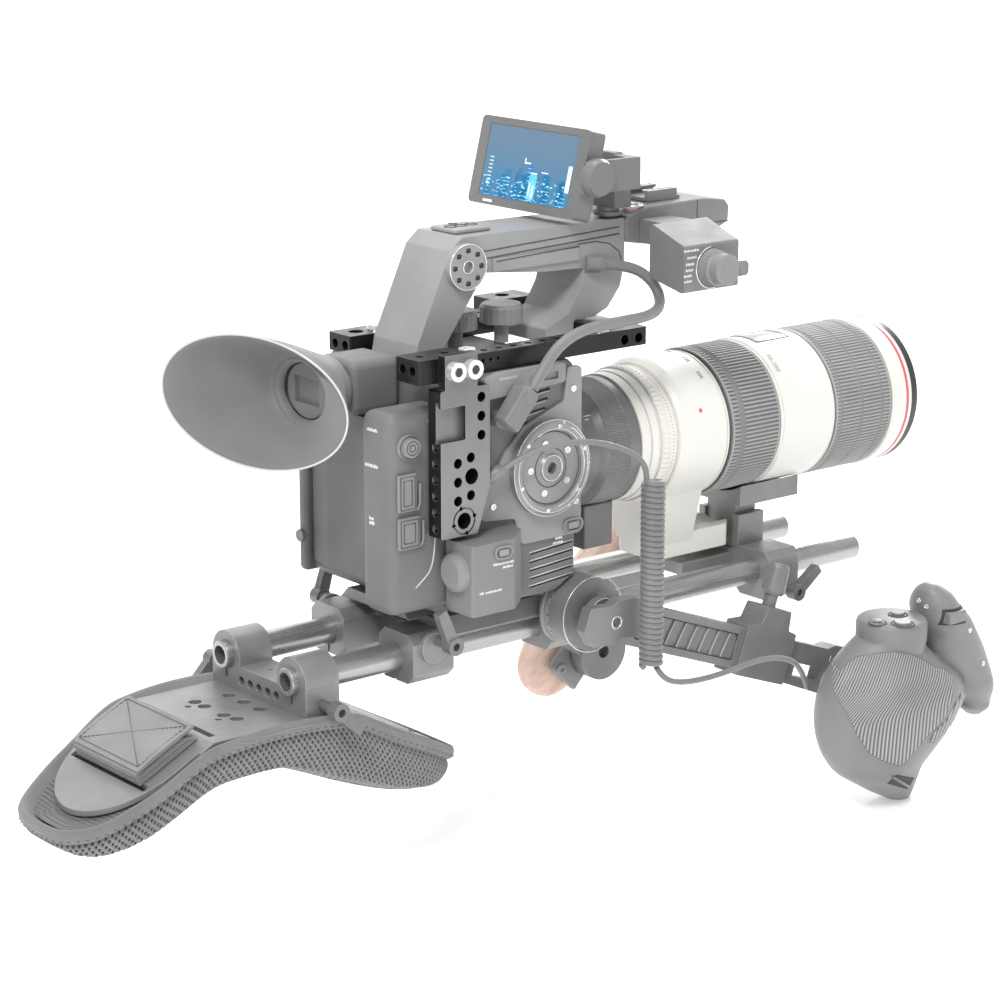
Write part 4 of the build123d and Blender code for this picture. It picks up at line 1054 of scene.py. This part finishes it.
def lens_details():
    """Rubber rings, marks, figures and fine lines of the lens."""
    ribbed_ring("zoom_rubber", "zoom_ring", (303, 341), 43.2, 40.5, 112, [(309, 313.6)])
    ribbed_ring("focus_rubber", "focus_ring", (385.2, 432.4), 44.2, 41.5, 128,
                [(389, 391.2), (406, 408.2), (423, 425.2)], 0.6)
    lens_dots()
    scalloped_band()
    adapter_knurl()
    distance_scale()
    barrel_text("focal_100", "100", 293.4, 42.32, -9, 3.4, INK)
    barrel_text("focal_135", "135", 292.4, 42.32, 14, 3.4, INK)
    barrel_text("focal_200", "200", 291.0, 42.32, 34, 3.4, INK)
    barrel_text("focal_range", "70-200", 347, 43.82, 31, 4.4, PALE_INK)
    rings_at("collar_line", [(299.3, 42.3)], PALE_INK, 0.22)
    rings_at("barrel_lines", [(343.4, 43.4), (383.6, 43.8), (434.2, 44.4)], WHITE, 0.4)


PALE_INK = moulded("ink_pale", grey(196), 0.5, mottle=0.04)
lens_details()


# --------------- hand grip

VIEW = Vector((0.611, 0.7504, -0.2524))     # the photo's line of sight
VIEW_SIN, VIEW_COS = 0.6313, 0.7755         # of its turn from straight across the rig
PALM = [
    (-24, 361, 20, 17), (-32, 356, 28, 20), (-42, 357, 38, 26), (-52, 361, 48, 30), (-63, 363, 53, 31.5),
    (-74, 360, 49.5, 31), (-84, 358, 45, 29), (-93, 355.5, 38, 26), (-102, 355, 30, 21.5),
    (-110, 360, 22.5, 17), (-118, 366, 15, 12), (-125, 372, 7.5, 7),
]
HOOD = [
    (0.6, 391.6, 3.1), (-2.4, 392.8, 7.6), (-5.6, 394.6, 10.7), (-10.7, 396, 13.5), (-17.1, 399.4, 15.9),
    (-23.8, 403.9, 17.1), (-31.4, 408.5, 17.2), (-39.8, 411.4, 19.1), (-48.3, 414.8, 19.8),
    (-60.2, 424.8, 16), (-69.2, 430.2, 13.3), (-77.8, 433.6, 9.6), (-81.7, 432.9, 9.5), (-86.8, 433.7, 4.4),
]
HAND_PANEL = [
    (316.6, -32.2), (315, -41.3), (315.4, -49.9), (325, -64.3), (332, -77.3), (341.7, -90.1),
    (352.6, -96.4), (364.8, -102.1), (370.1, -101.4), (377.9, -95.3), (385.6, -89.2), (394.9, -84.3),
    (402.7, -78.2), (406.4, -71.1), (408.7, -62.7), (408.4, -56.8), (401.2, -51.4), (392.9, -48.7),
    (384.5, -43.2), (373.5, -37.1), (360, -33.4), (346.9, -32.2), (333.9, -32), (326.2, -34.2),
    (321.3, -37.9),
]
FINGER_STRIP = [
    (417.2, -67.5), (423.1, -72.6), (420.7, -79.1), (414.2, -85.6), (403.4, -90.1), (392.7, -93.7),
    (387.2, -92.5), (392.3, -86.7), (402.9, -81.2), (409.3, -73.7),
]
STRAP_NOTCH = [(365, -107), (382, -113.5), (377, -121), (357, -112)]
ROCKER_WELL = [(388.4, -11.4), (405.6, -11.4), (405.6, -22.4), (388.4, -22.4)]
GRIP_PLANE, HOOD_PLANE = -115.0, -116
GRIP_STEPS = 72
CAST_START = 0.12                           # metres in front of the grip
RIB_HEIGHT, RIB_PITCH = 0.5, 2.85


def at_height(table, z):
    """The figures of a (z, ...) table at one height, on soft curves."""
    rows = sorted(table)
    return [along_line([(row[0], row[k]) for row in rows], z) for k in range(1, len(rows[0]))]


def oval_ring(cx, cy, a, b, z):
    """A level oval."""
    return [at(cx + a * math.cos(turn), cy + b * math.sin(turn), z) for turn in turns(GRIP_STEPS)]


def heights(table, count):
    """Even heights down a table, from its first row to its last."""
    return [table[0][0] + (table[-1][0] - table[0][0]) * i / count for i in range(count + 1)]


def palm_skin():
    """The palm: ovals from (z, middle, half length, half depth)."""
    rows = []
    for z in heights(PALM, 90):
        cx, a, b = at_height(PALM, z)
        rows.append(oval_ring(cx, GRIP_PLANE, a, b, z))
    return skin(rows, caps=True)


def hood_skin():
    """The hood: ovals whose half width, as the photo sees it, is read from (z, middle, half width)."""
    rows = []
    for z in heights(HOOD, 70):
        cx, half = at_height(HOOD, z)
        b = min(17.0, 1.14 * half)
        a = math.sqrt(half**2 - (VIEW_SIN * b)**2) / VIEW_COS
        rows.append(oval_ring(cx, HOOD_PLANE, a, b, z))
    return skin(rows, caps=True)


def pod_skin():
    """The round pod on top, which carries the dial, button and joystick."""
    profile = [
        (-40, 17.5), (-34, 19), (-26, 20.4), (-17.4, 20.4), (-15.6, 19.8), (-14.5, 18.4), (-14.5, 0),
    ]
    return turned(profile, (362, GRIP_PLANE, 0), "Z", 96)


def inside_by(point, loop):
    """Distance from a point to an outline, positive inside."""
    nearest, inside = 1e9, False
    for (ax, az), (bx, bz) in zip(loop, loop[1:] + loop[:1]):
        ux, uz = bx - ax, bz - az
        share = ((point[0] - ax) * ux + (point[1] - az) * uz) / (ux * ux + uz * uz)
        share = min(1.0, max(0.0, share))
        nearest = min(nearest, math.hypot(point[0] - ax - share * ux, point[1] - az - share * uz))
        if (az > point[1]) != (bz > point[1]) and point[0] < ax + (point[1] - az) / (bz - az) * ux:
            inside = not inside
    return nearest if inside else -nearest


def cast(tree, x, z, way):
    """The grip's surface point and normal met from outside on a line through (x, z) of its plane."""
    start = at(x, GRIP_PLANE, z) - way * CAST_START
    hit, normal = tree.ray_cast(start, way)[:2]
    if hit is None:
        return None
    return hit, normal if normal.dot(way) < 0 else -normal


def relief(tree, loop, way, height, pitch=0.5):
    """A raised patch inside an outline, its rim sunk under the surface."""
    xs, zs = [p[0] for p in loop], [p[1] for p in loop]
    columns = int((max(xs) - min(xs) + 1) / pitch) + 1
    rows = int((max(zs) - min(zs) + 1) / pitch) + 1
    verts, faces, index, hollows = [], [], {}, []
    for i in range(columns):
        for j in range(rows):
            x, z = min(xs) - 0.5 + i * pitch, min(zs) - 0.5 + j * pitch
            depth = inside_by((x, z), loop)
            found = cast(tree, x, z, way) if depth > -0.6 else None
            if found is None:
                continue
            rib = height(x, z)
            rise = -0.5 + 0.9 * ease(-0.1, 0.9, depth) + rib * ease(0.4, 1.6, depth)
            hollows.append(max(0.0, 1 - rib / RIB_HEIGHT))
            index[i, j] = len(verts)
            verts.append(found[0] + found[1] * rise * MM)
    for i, j in index:
        corners = [index.get(key) for key in ((i, j), (i + 1, j), (i + 1, j + 1), (i, j + 1))]
        if None not in corners:
            faces.append(tuple(corners))
    return verts, faces, hollows


def hand_ridge(x, z):
    """Height of the panel's ribs, which sweep forward as they rise."""
    u, w = x - 362, z + 65
    lean = 0.75 * math.log(1 + math.exp((w + 2) / 7)) * 7 / 34 + 0.35 * ease(-8, 14, w)
    return RIB_HEIGHT * pulse(2 * math.pi * (u - (30 - 0.35 * u) * lean) / RIB_PITCH, 1.6)


def strip_ridge(x, z):
    """Height of the finger strip's ribs."""
    return RIB_HEIGHT * pulse(2 * math.pi * (x - 0.5 * z) / RIB_PITCH, 1.6)


def sunk(x, z):
    """A floor a little under the rim."""
    return -0.2


def seam(tree, name, loop, way, material, radius=0.2):
    """A parting line where a patch meets the moulding."""
    path = []
    for (ax, az), (bx, bz) in zip(loop, loop[1:] + loop[:1]):
        for k in range(8):
            found = cast(tree, ax + (bx - ax) * k / 8, az + (bz - az) * k / 8, way)
            if found:
                path.append(found[0])
    piece(name, *swept(path, radius * MM, 6, closed=True), material, "grip_plastic", "grip")


def stud_at(found, radius, height, steps=20):
    """A low dome on a surface point, facing along its normal."""
    hit, normal = found
    side = normal.orthogonal().normalized()
    over = normal.cross(side)
    rows = []
    section = ((-0.3, 1.0), (height * 0.6, 1.0), (height, 0.8), (height, 0.45), (height * 0.4, 0.4))
    for rise, share in section:
        rows.append([hit + (side * math.cos(a) + over * math.sin(a)) * radius * share * MM
                     + normal * rise * MM for a in turns(steps)])
    return skin(rows, caps=True)


def groove_shaded_finish(name, top, groove_shade):
    """Soft plastic whose stored grooves take painted shade."""
    s = Shader(name, 0.4)
    depth = s.node("ShaderNodeAttribute", attribute_name="hollow").outputs["Fac"]
    patchiness = s.drift(40, 3, 0.0, 1.0)
    base = s.mix(patchiness, scaled(top, 0.93), scaled(top, 1.06))
    base = s.mix(s.remap(depth, 0.15, 0.95), base, groove_shade)
    return s.paint(base, s.remap(patchiness, 0, 1, 0.34, 0.46), s.bump(s.noise(3200, 2), 0.00003))


def ribbed_patch(name, tree, loop, ridge):
    """A raised patch of ribs on the grip, with painted shade in its grooves."""
    verts, faces, hollows = relief(tree, loop, VIEW, ridge)
    patch = piece(name, verts, faces, RIBBED, "grip_plastic", "grip")
    painted_hollow_shade(patch, hollows)


# rib tops grey(170), lighter than the grip: painted highlight; grooves grey(94): painted shade
RIBBED = groove_shaded_finish("grip_ribbed", grey(170), grey(94))
SOFT_SEAM = moulded("soft_parting_line", grey(124), 0.5)
SEAM = moulded("parting_line", grey(84), 0.6)
# painted shade: a near-black tone for shallow recesses, slots, sockets and pocket outlines
RECESS_SHADE = moulded("painted_recess_shade", grey(58), 0.6)


def hand_grip():
    shell = merged([palm_skin(), hood_skin(), pod_skin()])
    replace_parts(piece("grip_shell", *shell, GRIP, "grip_plastic", "grip"), "hand_grip")
    tree = BVHTree.FromPolygons([tuple(v) for v in shell[0]], shell[1])
    across = Vector((0, 1, 0))
    ribbed_patch("grip_ribs", tree, HAND_PANEL, hand_ridge)
    ribbed_patch("grip_strip", tree, FINGER_STRIP, strip_ridge)
    seam(tree, "grip_seam", HAND_PANEL, VIEW, SOFT_SEAM)
    seam(tree, "strip_seam", FINGER_STRIP, VIEW, SOFT_SEAM)
    # the strap notch and the rocker's well are shallow floors coloured with painted shade
    piece("strap_notch", *relief(tree, STRAP_NOTCH, VIEW, sunk)[:2], RECESS_SHADE, "grip_plastic", "grip")
    piece("rocker_well", *relief(tree, ROCKER_WELL, across, sunk)[:2], RECESS_SHADE, "grip_plastic", "grip")
    places = ((384, -8.9), (388.9, -13.2), (423.5, -33.4), (436.4, -56.1))
    screws = [cast(tree, x, z, VIEW) for x, z in places]
    heads = [stud_at(found, 1.5, 0.4) for found in screws if found]
    piece("grip_screws", *merged(heads), STEEL, "grip_plastic", "grip")
    bracket = [cast(tree, x, z, VIEW) for x, z in ((362, -108), (378, -119))]
    line = [found[0] + found[1] * 0.0008 for found in bracket if found]
    piece("notch_bar", *swept(line, 0.9 * MM, 8), GRIP, "grip_plastic", "grip")
    rings = []
    for x, y, radius in ((357, -128, 6.4), (368, -114, 5.4), (347, -118, 5.0)):
        ring = [at(x + radius * math.cos(a), y + radius * math.sin(a), -14.4) for a in turns(48)]
        rings.append(swept(ring, 0.5 * MM, 8, closed=True))
    piece("pod_rings", *merged(rings), SEAM, "grip_plastic", "grip")
    stick = [(-14.6, 4.2), (-14.0, 4.2), (-13.8, 2.0), (-13.0, 2.0), (-12.8, 3.2), (-12.5, 3.0), (-12.5, 0)]
    piece("pod_joystick", *turned(stick, (347, -118, 0), "Z", 32), KNOB, "grip_plastic", "grip")


hand_grip()


# --------------- wooden grip

def wooden_grip():
    """Turned and sanded hardwood grip, fuller in the middle and rounded at both ends."""
    rows = []
    steps = 96
    for i in range(steps + 1):
        share = -1 + 2 * i / steps
        reach = 66 * math.sin(share * math.pi / 2)
        near = abs(reach / 66)
        size = max(0.02, (1 - near**7) ** 0.5) * (0.93 + 0.07 * math.cos(math.pi * reach / 66))
        ring = []
        for a in turns(64):
            c, s = math.cos(a), math.sin(a)
            y = 83.1 + 14.9 * size * math.copysign(abs(c) ** 0.7, c)
            height = 22.8 * size * math.copysign(abs(s) ** 0.7, s)
            ring.append(at(303 + reach * math.cos(WOOD_TILT) - height * math.sin(WOOD_TILT), y,
                           -40 + reach * math.sin(WOOD_TILT) + height * math.cos(WOOD_TILT)))
        rows.append(ring)
    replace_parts(piece("wood_handle", *skin(rows, caps=True), WOOD, "wood", "wood_grip"), "left_grip_wood")


wooden_grip()


# --------------- monitor picture

LCD = (205.3, 16.0, 242.4)
LCD_TILT = math.radians(14)
LCD_FRONT = -5.24
PICTURE_Y, PICTURE_Z = (-37.4, 37.4), (-19.5, 20.0)


def on_lcd(y, z, out):
    """A point in front of the monitor's screen from its own y and z, mm."""
    x = LCD_FRONT - out
    return at(LCD[0] + x * math.cos(LCD_TILT) + z * math.sin(LCD_TILT), LCD[1] + y,
              LCD[2] - x * math.sin(LCD_TILT) + z * math.cos(LCD_TILT))


def light_bars(name, bars, colour, out, strength=1.0):
    """Lit rectangles (y low, y high, z low, z high) of the picture."""
    parts = []
    for y0, y1, z0, z1 in bars:
        parts.append(([on_lcd(y, z, out) for y, z in ((y0, z0), (y1, z0), (y1, z1), (y0, z1))],
                      [(0, 1, 2, 3)]))
    piece(name, *merged(parts), glow(name, colour, strength), "screen", "monitor", False)


def night_sky():
    s = Shader("picture_sky", 0.25)
    low, high = at(0, 0, LCD[2] - 17).z, at(0, 0, LCD[2] + 15).z
    rise = s.remap(s.part(s.coords, 2), low, high)
    tone = s.mix(s.math("ADD", rise, s.drift(60, 4, -0.12, 0.12)), rgb(64, 142, 186), rgb(116, 142, 165))
    return s.paint(rgb(40, 60, 80), 0.25, emission_color=tone, emission_strength=0.82)


def monitor_picture():
    """A generic city by night on the screen."""
    corners = [on_lcd(y, z, 0.02) for y, z in
               ((PICTURE_Y[0], PICTURE_Z[0]), (PICTURE_Y[1], PICTURE_Z[0]),
                (PICTURE_Y[1], PICTURE_Z[1]), (PICTURE_Y[0], PICTURE_Z[1]))]
    piece("picture_sky", corners, [(0, 1, 2, 3)], night_sky(), "screen", "monitor", False)
    random.seed(12)
    towers, windows, lamps = [], [], []
    for k in range(24):
        y = random.uniform(-34, 34)
        top = random.uniform(-13, -3) + (8 if -26 < y < 6 and k % 4 == 0 else 0)
        half = random.uniform(1.2, 3.2)
        towers.append((max(-37.2, y - half), min(37.2, y + half), -19.4, top))
        for j in range(int((top + 19) / 2.2)):
            if random.random() < 0.6:
                z = -19 + 2.2 * j
                windows.append((y - half * 0.7, y + half * random.uniform(-0.2, 0.7), z, z + 0.45))
    for k in range(90):
        y, z = random.uniform(-36.5, 36.5), random.uniform(-19.2, -8)
        lamps.append((y, y + random.uniform(0.4, 2.2), z, z + random.uniform(0.25, 0.7)))
    light_bars("towers_far", towers[::2], rgb(52, 116, 158), 0.04)
    light_bars("towers_near", towers[1::2], rgb(24, 106, 152), 0.06)
    light_bars("tower_windows", windows, rgb(110, 196, 228), 0.08)
    light_bars("street_lamps", lamps, rgb(172, 226, 240), 0.10)
    drum = [(-9, -2.6, -18, -4.5), (-8.4, -3.4, -4.5, -3.7)]
    light_bars("lit_drum", drum, rgb(96, 190, 226), 0.09)
    crane = [(-8.6, -3.2, -3.8, -3.1), (-2.0, 2.6, 1.2, 2.0), (2.6, 3.4, 1.2, 4.2), (-17.5, -12, -2.6, -2.0),
             (-36.6, -33.4, -11, 3.6), (-7.4, -6.2, -17, -10), (-4.4, -3.5, -16, -9)]
    light_bars("bright_lines", crane, rgb(236, 248, 250), 0.12)
    meter = [(30, 33.4, -13 + 2.1 * k, -12.3 + 2.1 * k) for k in range(8)]
    light_bars("level_marks", meter, rgb(206, 226, 236), 0.12, 0.8)
    light_bars("maker_bar", [(25, 33, -22.9, -21.6)], rgb(226, 230, 232), 0.34)


monitor_picture()


# --------------- handle details

def stroke(name, lines, radius, material, slot, body="rig"):
    """Fine lines through lists of sketch points."""
    parts = [swept([at(*p) for p in line], radius * MM, 6) for line in lines]
    piece(name, *merged(parts), material, slot, body)


def ring_line(centre, radius, plane="XZ", steps=64, span=(0, 360)):
    """Points on a circle, or part of one, in sketch millimetres."""
    points = []
    for i in range(steps + 1):
        a = math.radians(span[0] + (span[1] - span[0]) * i / steps)
        u, v = radius * math.cos(a), radius * math.sin(a)
        step = (u, 0, v) if plane == "XZ" else (u, v, 0)
        points.append(tuple(centre[k] + step[k] for k in range(3)))
    return points


def labels(name, lines, y, ink, slot):
    """Generic lettering: rows of short upright strokes at (x, z, length)."""
    random.seed(len(lines) + int(abs(y)))
    parts = []
    for x, z, length in lines:
        reach = 0.0
        while reach < length:
            wide = random.uniform(0.45, 0.8)
            parts.append(sheet_box((x + reach, y - 0.06, z), (wide, 0.12, random.uniform(1.0, 1.45)), 0))
            reach += wide + 0.38
    piece(name, *merged(parts), ink, slot, smooth=False)


def handle_details():
    """Grooves, hub, buttons, shoe and input box of the top handle."""
    near = -19.02
    grooves = [
        [(137, near, 207.4), (170, near, 208.6), (205, near, 209.8), (236, near, 211.0)],
        [(134, near, 203.2), (170, near, 204.8), (205, near, 206.0), (236, near, 207.2)],
    ]
    stroke("bar_grooves", grooves, 0.4, SEAM, "handle_plastic")
    insert = [(148, -20.55, 201.5), (180, -20.55, 202.8), (206, -20.55, 203.4)]
    tail = [(206, near, 204.5), (219, near, 204.6), (229, near, 202.5), (236, near, 197.5), (238, near, 192)]
    stroke("bar_insert_line", [insert, tail], 0.35, SEAM, "handle_plastic")
    slots = []
    for k in range(8):
        a = math.radians(45 * k)
        x, z = 127 + 8.8 * math.cos(a), 201 + 8.8 * math.sin(a)
        slots.append(sheet_box((x - 1.5, -23.12, z - 1.1), (3.0, 0.2, 2.2), 0.05))
    # the hub's slots are thin boxes coloured with painted shade
    piece("hub_slots", *merged(slots), RECESS_SHADE, "handle_plastic")
    hub = [ring_line((127, -23.05, 201), radius) for radius in (3.3, 12.2)]
    stroke("hub_rings", hub, 0.35, STEEL, "handle_plastic")
    rings = [ring_line((x, 0, 219.05), 3.2, "XY") for x in (133, 140, 147)]
    rings.append(ring_line((140, 7, 219.05), 2.2, "XY"))
    stroke("pad_buttons", rings, 0.4, SEAM, "handle_plastic")
    stroke("record_ring", [ring_line((250, -13, 221.0), radius, "XY") for radius in (5.6, 6.6)], 0.4,
           STEEL, "module_plastic")
    shoe = [[(264, y, 227.1), (286, y, 227.1)] for y in (-10.8, -6.6, 6.6, 10.8)]
    stroke("shoe_edges", shoe, 0.3, STEEL, "module_plastic")
    joint = [[(293.4, -20.05, 220.4), (293.4, -20.05, 211), (297, -20.05, 206.5), (318, -20.05, 206.5)]]
    stroke("module_joint", joint, 0.3, SEAM, "module_plastic")
    stroke("input_ring", [ring_line((258, -70.15, 193), 11.3, span=(95, 285))], 0.4, STEEL, "module_plastic")
    rows = [(237.5, 203.0, 11), (240.0, 199.2, 6), (239.2, 195.6, 5.5), (239.0, 192.4, 5), (237.6, 189.4, 6),
            (237.8, 186.4, 5)]
    labels("input_labels", rows, -70.1, LABEL, "module_plastic")
    knurl = []
    for a in turns(30):
        x, z = 258 + 9.7 * math.cos(a), 193 + 9.7 * math.sin(a)
        knurl.append([(x, -75.6, z), (x, -70.8, z)])
    stroke("input_knurl", knurl, 0.42, MODULE, "module_plastic")
    tab = sheet_box((266, -82.5, 188.5), (9, 4.5, 8), 1.2)
    piece("input_tab", *tab, MODULE, "module_plastic")


handle_details()


# --------------- body and mount details

def rect_line(x, z, y):
    """A closed rectangle on the near side from its X and Z spans."""
    return [(x[0], y, z[0]), (x[1], y, z[0]), (x[1], y, z[1]), (x[0], y, z[1]), (x[0], y, z[0])]


def port_doors():
    """Outlines, lips and jack of the port wing, and a painted highlight along its border."""
    doors = [((54, 66), (86, 106)), ((54, 68), (66, 83))]
    lines = []
    for x, z in doors:
        for inset in (1.4, 3.4):
            lines.append(rect_line((x[0] + inset, x[1] - inset), (z[0] + inset, z[1] - inset), -57.05))
    stroke("door_outlines", lines, 0.3, SEAM, "fitting_plastic")
    lips = [[(66.4, -56.6, 86), (68.4, -56.2, 90), (68.4, -56.2, 100)],
            [(68.4, -56.6, 66.5), (70.4, -56.2, 70), (70.4, -56.2, 80)]]
    stroke("door_lips", lips, 0.8, FITTING, "fitting_plastic")
    jack = [ring_line((61, y, 120), radius) for y, radius in ((-57.3, 5.8), (-60.0, 3.6), (-60.0, 1.8))]
    stroke("jack_rings", jack, 0.3, SEAM, "fitting_plastic")
    curve = [(44, 66), (52, 75.5), (70, 79), (96, 80.5), (122, 79), (133, 74.5)]
    border = [(along_line(curve, 44 + 2.2 * k), -55.1, 44 + 2.2 * k) for k in range(41)]
    stroke("port_border", [border], 0.5, RIB_EDGE_HIGHLIGHT, "body_plastic")


def rear_labels():
    """Short generic marks on the port wing's rear corner."""
    random.seed(31)
    parts = []
    for z, start, length in ((127, -36, 9), (108, -34, 10), (80, -37, 4), (77.5, -37, 4)):
        reach = 0.0
        while reach < length:
            wide = random.uniform(0.5, 0.9)
            height = random.uniform(1.2, 2.0)
            parts.append(sheet_box((49.9, start - reach - wide, z), (0.12, wide, height), 0))
            reach += wide + 0.4
    piece("port_labels", *merged(parts), LABEL, "body_plastic", smooth=False)


def vent_lips():
    """Painted highlights along the lower lips of the vent slots."""
    lines = [[(141.5, -56.15, 31.4 + 4.6 * i), (172, -56.15, 33.6 + 4.6 * i)] for i in range(5)]
    lines += [[(124 + 1.5 * i, -56.15, 138.4 - 5 * i), (156 - 1.5 * i, -56.15, 141.6 - 5 * i)]
              for i in range(6)]
    stroke("vent_lips", lines, 0.42, RIB_EDGE_HIGHLIGHT, "body_plastic")


def mount_rings():
    """Painted highlights on the edges, dark gaps and two index dots of the round grip mount."""
    x, z = GRIP_MOUNT
    lines = [ring_line((x, -62.4, z), 26.0), ring_line((x, -63.6, z), 23.9, span=(150, 420)),
             ring_line((x, -63.55, z), 21.4, span=(-80, 120)), ring_line((x, -62.5, z), 6.9)]
    stroke("mount_highlights", lines, 0.28, STEEL, "mount_metal")
    gaps = [ring_line((x, -61.05, z), 19.6), ring_line((x, -61.05, z), 10.6)]
    stroke("mount_gaps", gaps, 0.3, SEAM, "mount_metal")
    dots = [sheet_box((x + 24.6 * math.cos(a) - 0.9, -63.2, z + 24.6 * math.sin(a) - 0.9), (1.8, 0.9, 1.8))
            for a in (math.radians(72), math.radians(-62))]
    piece("mount_dots", *merged(dots), LABEL, "mount_metal")


def body_labels():
    """Generic marks beside the switches and sockets."""
    labels("release_labels", [(158, 54.6, 5), (156.4, 52.2, 7)], -58.1, LABEL, "panel_plastic")
    labels("switch_labels", [(97.5, 55.5, 13), (104, 53.2, 6)], -80.05, LABEL, "fitting_plastic")
    labels("socket_label", [(88.5, 41.5, 2.5), (92.5, 41.5, 10)], -80.05, LABEL, "fitting_plastic")
    labels("hood_label", [(118, 147.6, 12)], -60.05, PALE_INK, "body_plastic")


def bolt_sockets():
    """Hexagon sockets in the side plate's bolts, dark with painted shade."""
    parts = []
    for x in (81, 92):
        ring = [(-73.2, 0), (-73.2, 2.2), (-73.0, 2.4)]
        parts.append(turned(ring, (x, 0, 159), "Y", 6))
    piece("bolt_sockets", *merged(parts), RECESS_SHADE, "steel")


# pale tone for painted highlights along ribs, lips and borders
RIB_EDGE_HIGHLIGHT = moulded("rib_edge_highlight", grey(196), 0.35)
port_doors()
rear_labels()
vent_lips()
mount_rings()
body_labels()
bolt_sockets()


# --------------- near arm details

def arm_point(along, y, up):
    """A point beside the near arm: along it from the rosette, across, and above its axis."""
    return (ROSETTE[0] + along * math.cos(ARM_DROP) + up * math.sin(ARM_DROP), y,
            ROSETTE[1] - along * math.sin(ARM_DROP) + up * math.cos(ARM_DROP))


def arm_details():
    """Pocket outline in painted shade, ribs with painted highlights, rings, scale and screw of the near arm.
    """
    corners = ((30, -7.5), (108, -7.5), (108, 7.5), (30, 7.5), (30, -7.5))
    pocket = [[arm_point(a, -72.05, b) for a, b in corners]]
    stroke("arm_pocket_line", pocket, 0.3, RECESS_SHADE, "arm_black", "near_arm")
    ribs = []
    for i in range(8):
        lean = 38 + 9 * i
        ribs.append([arm_point(lean - 2.4, -72.1, -6.8), arm_point(lean + 0.6, -72.1, 6.8)])
    stroke("arm_rib_lines", ribs, 0.3, RIB_EDGE_HIGHLIGHT, "arm_black", "near_arm")
    ring = [[arm_point(r * math.cos(a), y, r * math.sin(a)) for a in [math.pi * k / 32 for k in range(65)]]
            for r, y in ((10.7, -75.02), (21.0, -66.3))]
    stroke("rosette_rings", ring, 0.28, STEEL, "arm_black", "near_arm")
    ticks = []
    for i in range(7):
        reach = 3.4 if i % 3 == 0 else 2.0
        ticks.append([arm_point(190 + 3.2 * i, -71.1, 4.0), arm_point(190 + 3.2 * i, -71.1, 4.0 + reach)])
    stroke("slider_scale", ticks, 0.22, LABEL, "arm_black", "near_slider")
    round_once = [math.pi * k / 16 for k in range(33)]
    screw = [[arm_point(3.4 * math.cos(a), -86.02, 3.4 * math.sin(a)) for a in round_once]]
    stroke("wing_screw", screw, 0.4, STEEL, "knob_plastic", "rosette_knob")


arm_details()


# --------------- stage

FLOOR_GAP = 0.0005                          # metres under the rig
FLAT_ROWS, BEND_ROWS = 4, 20
BEND_R, WALL_HEIGHT, HALF_FLOOR = 2.2, 3.0, 7
FLOOR_SHINE = (0.3, 0.9)                    # emission on the level and up the bend
WORLD_LIGHT = 0.6
LAMPS = {                                   # place, size and power
    "key": ((-1.1, -0.9, 1.6), 0.6, 24),
    "top": ((0.3, 0.2, 2.0), 0.9, 14),
    "rim": ((1.6, 0.9, 0.9), 0.5, 14),
}


def floor():
    """Pale sweep: level under the rig, curving up far behind it."""
    low = CAD_BOX[0][2] - FLOOR_GAP
    last = FLAT_ROWS + BEND_ROWS
    rows = []
    for k in range(last + 1):
        turn = math.radians(90 * max(0, k - FLAT_ROWS) / BEND_ROWS)
        out = -4.0 + 1.4 * min(k, FLAT_ROWS) + BEND_R * math.sin(turn)
        rise = low + BEND_R * (1 - math.cos(turn)) + (WALL_HEIGHT if k == last else 0)
        rows.append([Vector((VIEW.x * out - side * VIEW.y, VIEW.y * out + side * VIEW.x, rise))
                     for side in (-HALF_FLOOR, HALF_FLOOR)])
    verts, faces = skin(rows, closed=False)
    mesh = bpy.data.meshes.new("floor")
    mesh.from_pydata([tuple(v) for v in verts], [], faces)
    mesh.polygons.foreach_set("use_smooth", [True] * len(mesh.polygons))
    ground = bpy.data.objects.new("floor", mesh)
    bpy.context.scene.collection.objects.link(ground)
    s = Shader("floor_paint", 0.95)
    tone = s.mix(s.drift(2, 2, 0.0, 1.0), (0.9, 0.9, 0.9, 1), (0.93, 0.93, 0.93, 1))
    shine = s.remap(s.part(s.coords, 2), low, low + 0.5, *FLOOR_SHINE)
    ground.data.materials.append(s.paint(tone, emission_color=(1, 1, 1, 1), emission_strength=shine))


def lamp(name, place, target, size, power):
    """A round area lamp that faces its target; metres and watts."""
    data = bpy.data.lights.new(name, "AREA")
    data.shape = "DISK"
    data.size = size
    data.energy = power
    obj = bpy.data.objects.new(name, data)
    obj.location = place
    obj.rotation_euler = (Vector(target) - Vector(place)).to_track_quat("-Z", "Y").to_euler()
    bpy.context.scene.collection.objects.link(obj)


def studio():
    """White world with three soft area lamps."""
    world = bpy.data.worlds.new("studio")
    world.use_nodes = True
    sky = world.node_tree.nodes["Background"]
    sky.inputs[0].default_value = (1, 1, 1, 1)
    sky.inputs[1].default_value = WORLD_LIGHT
    bpy.context.scene.world = world
    middle = (0.05, 0, 0.1)
    for name, (place, size, power) in LAMPS.items():
        lamp(name, place, middle, size, power)
    bpy.context.scene.view_settings.view_transform = "Standard"


floor()
studio()
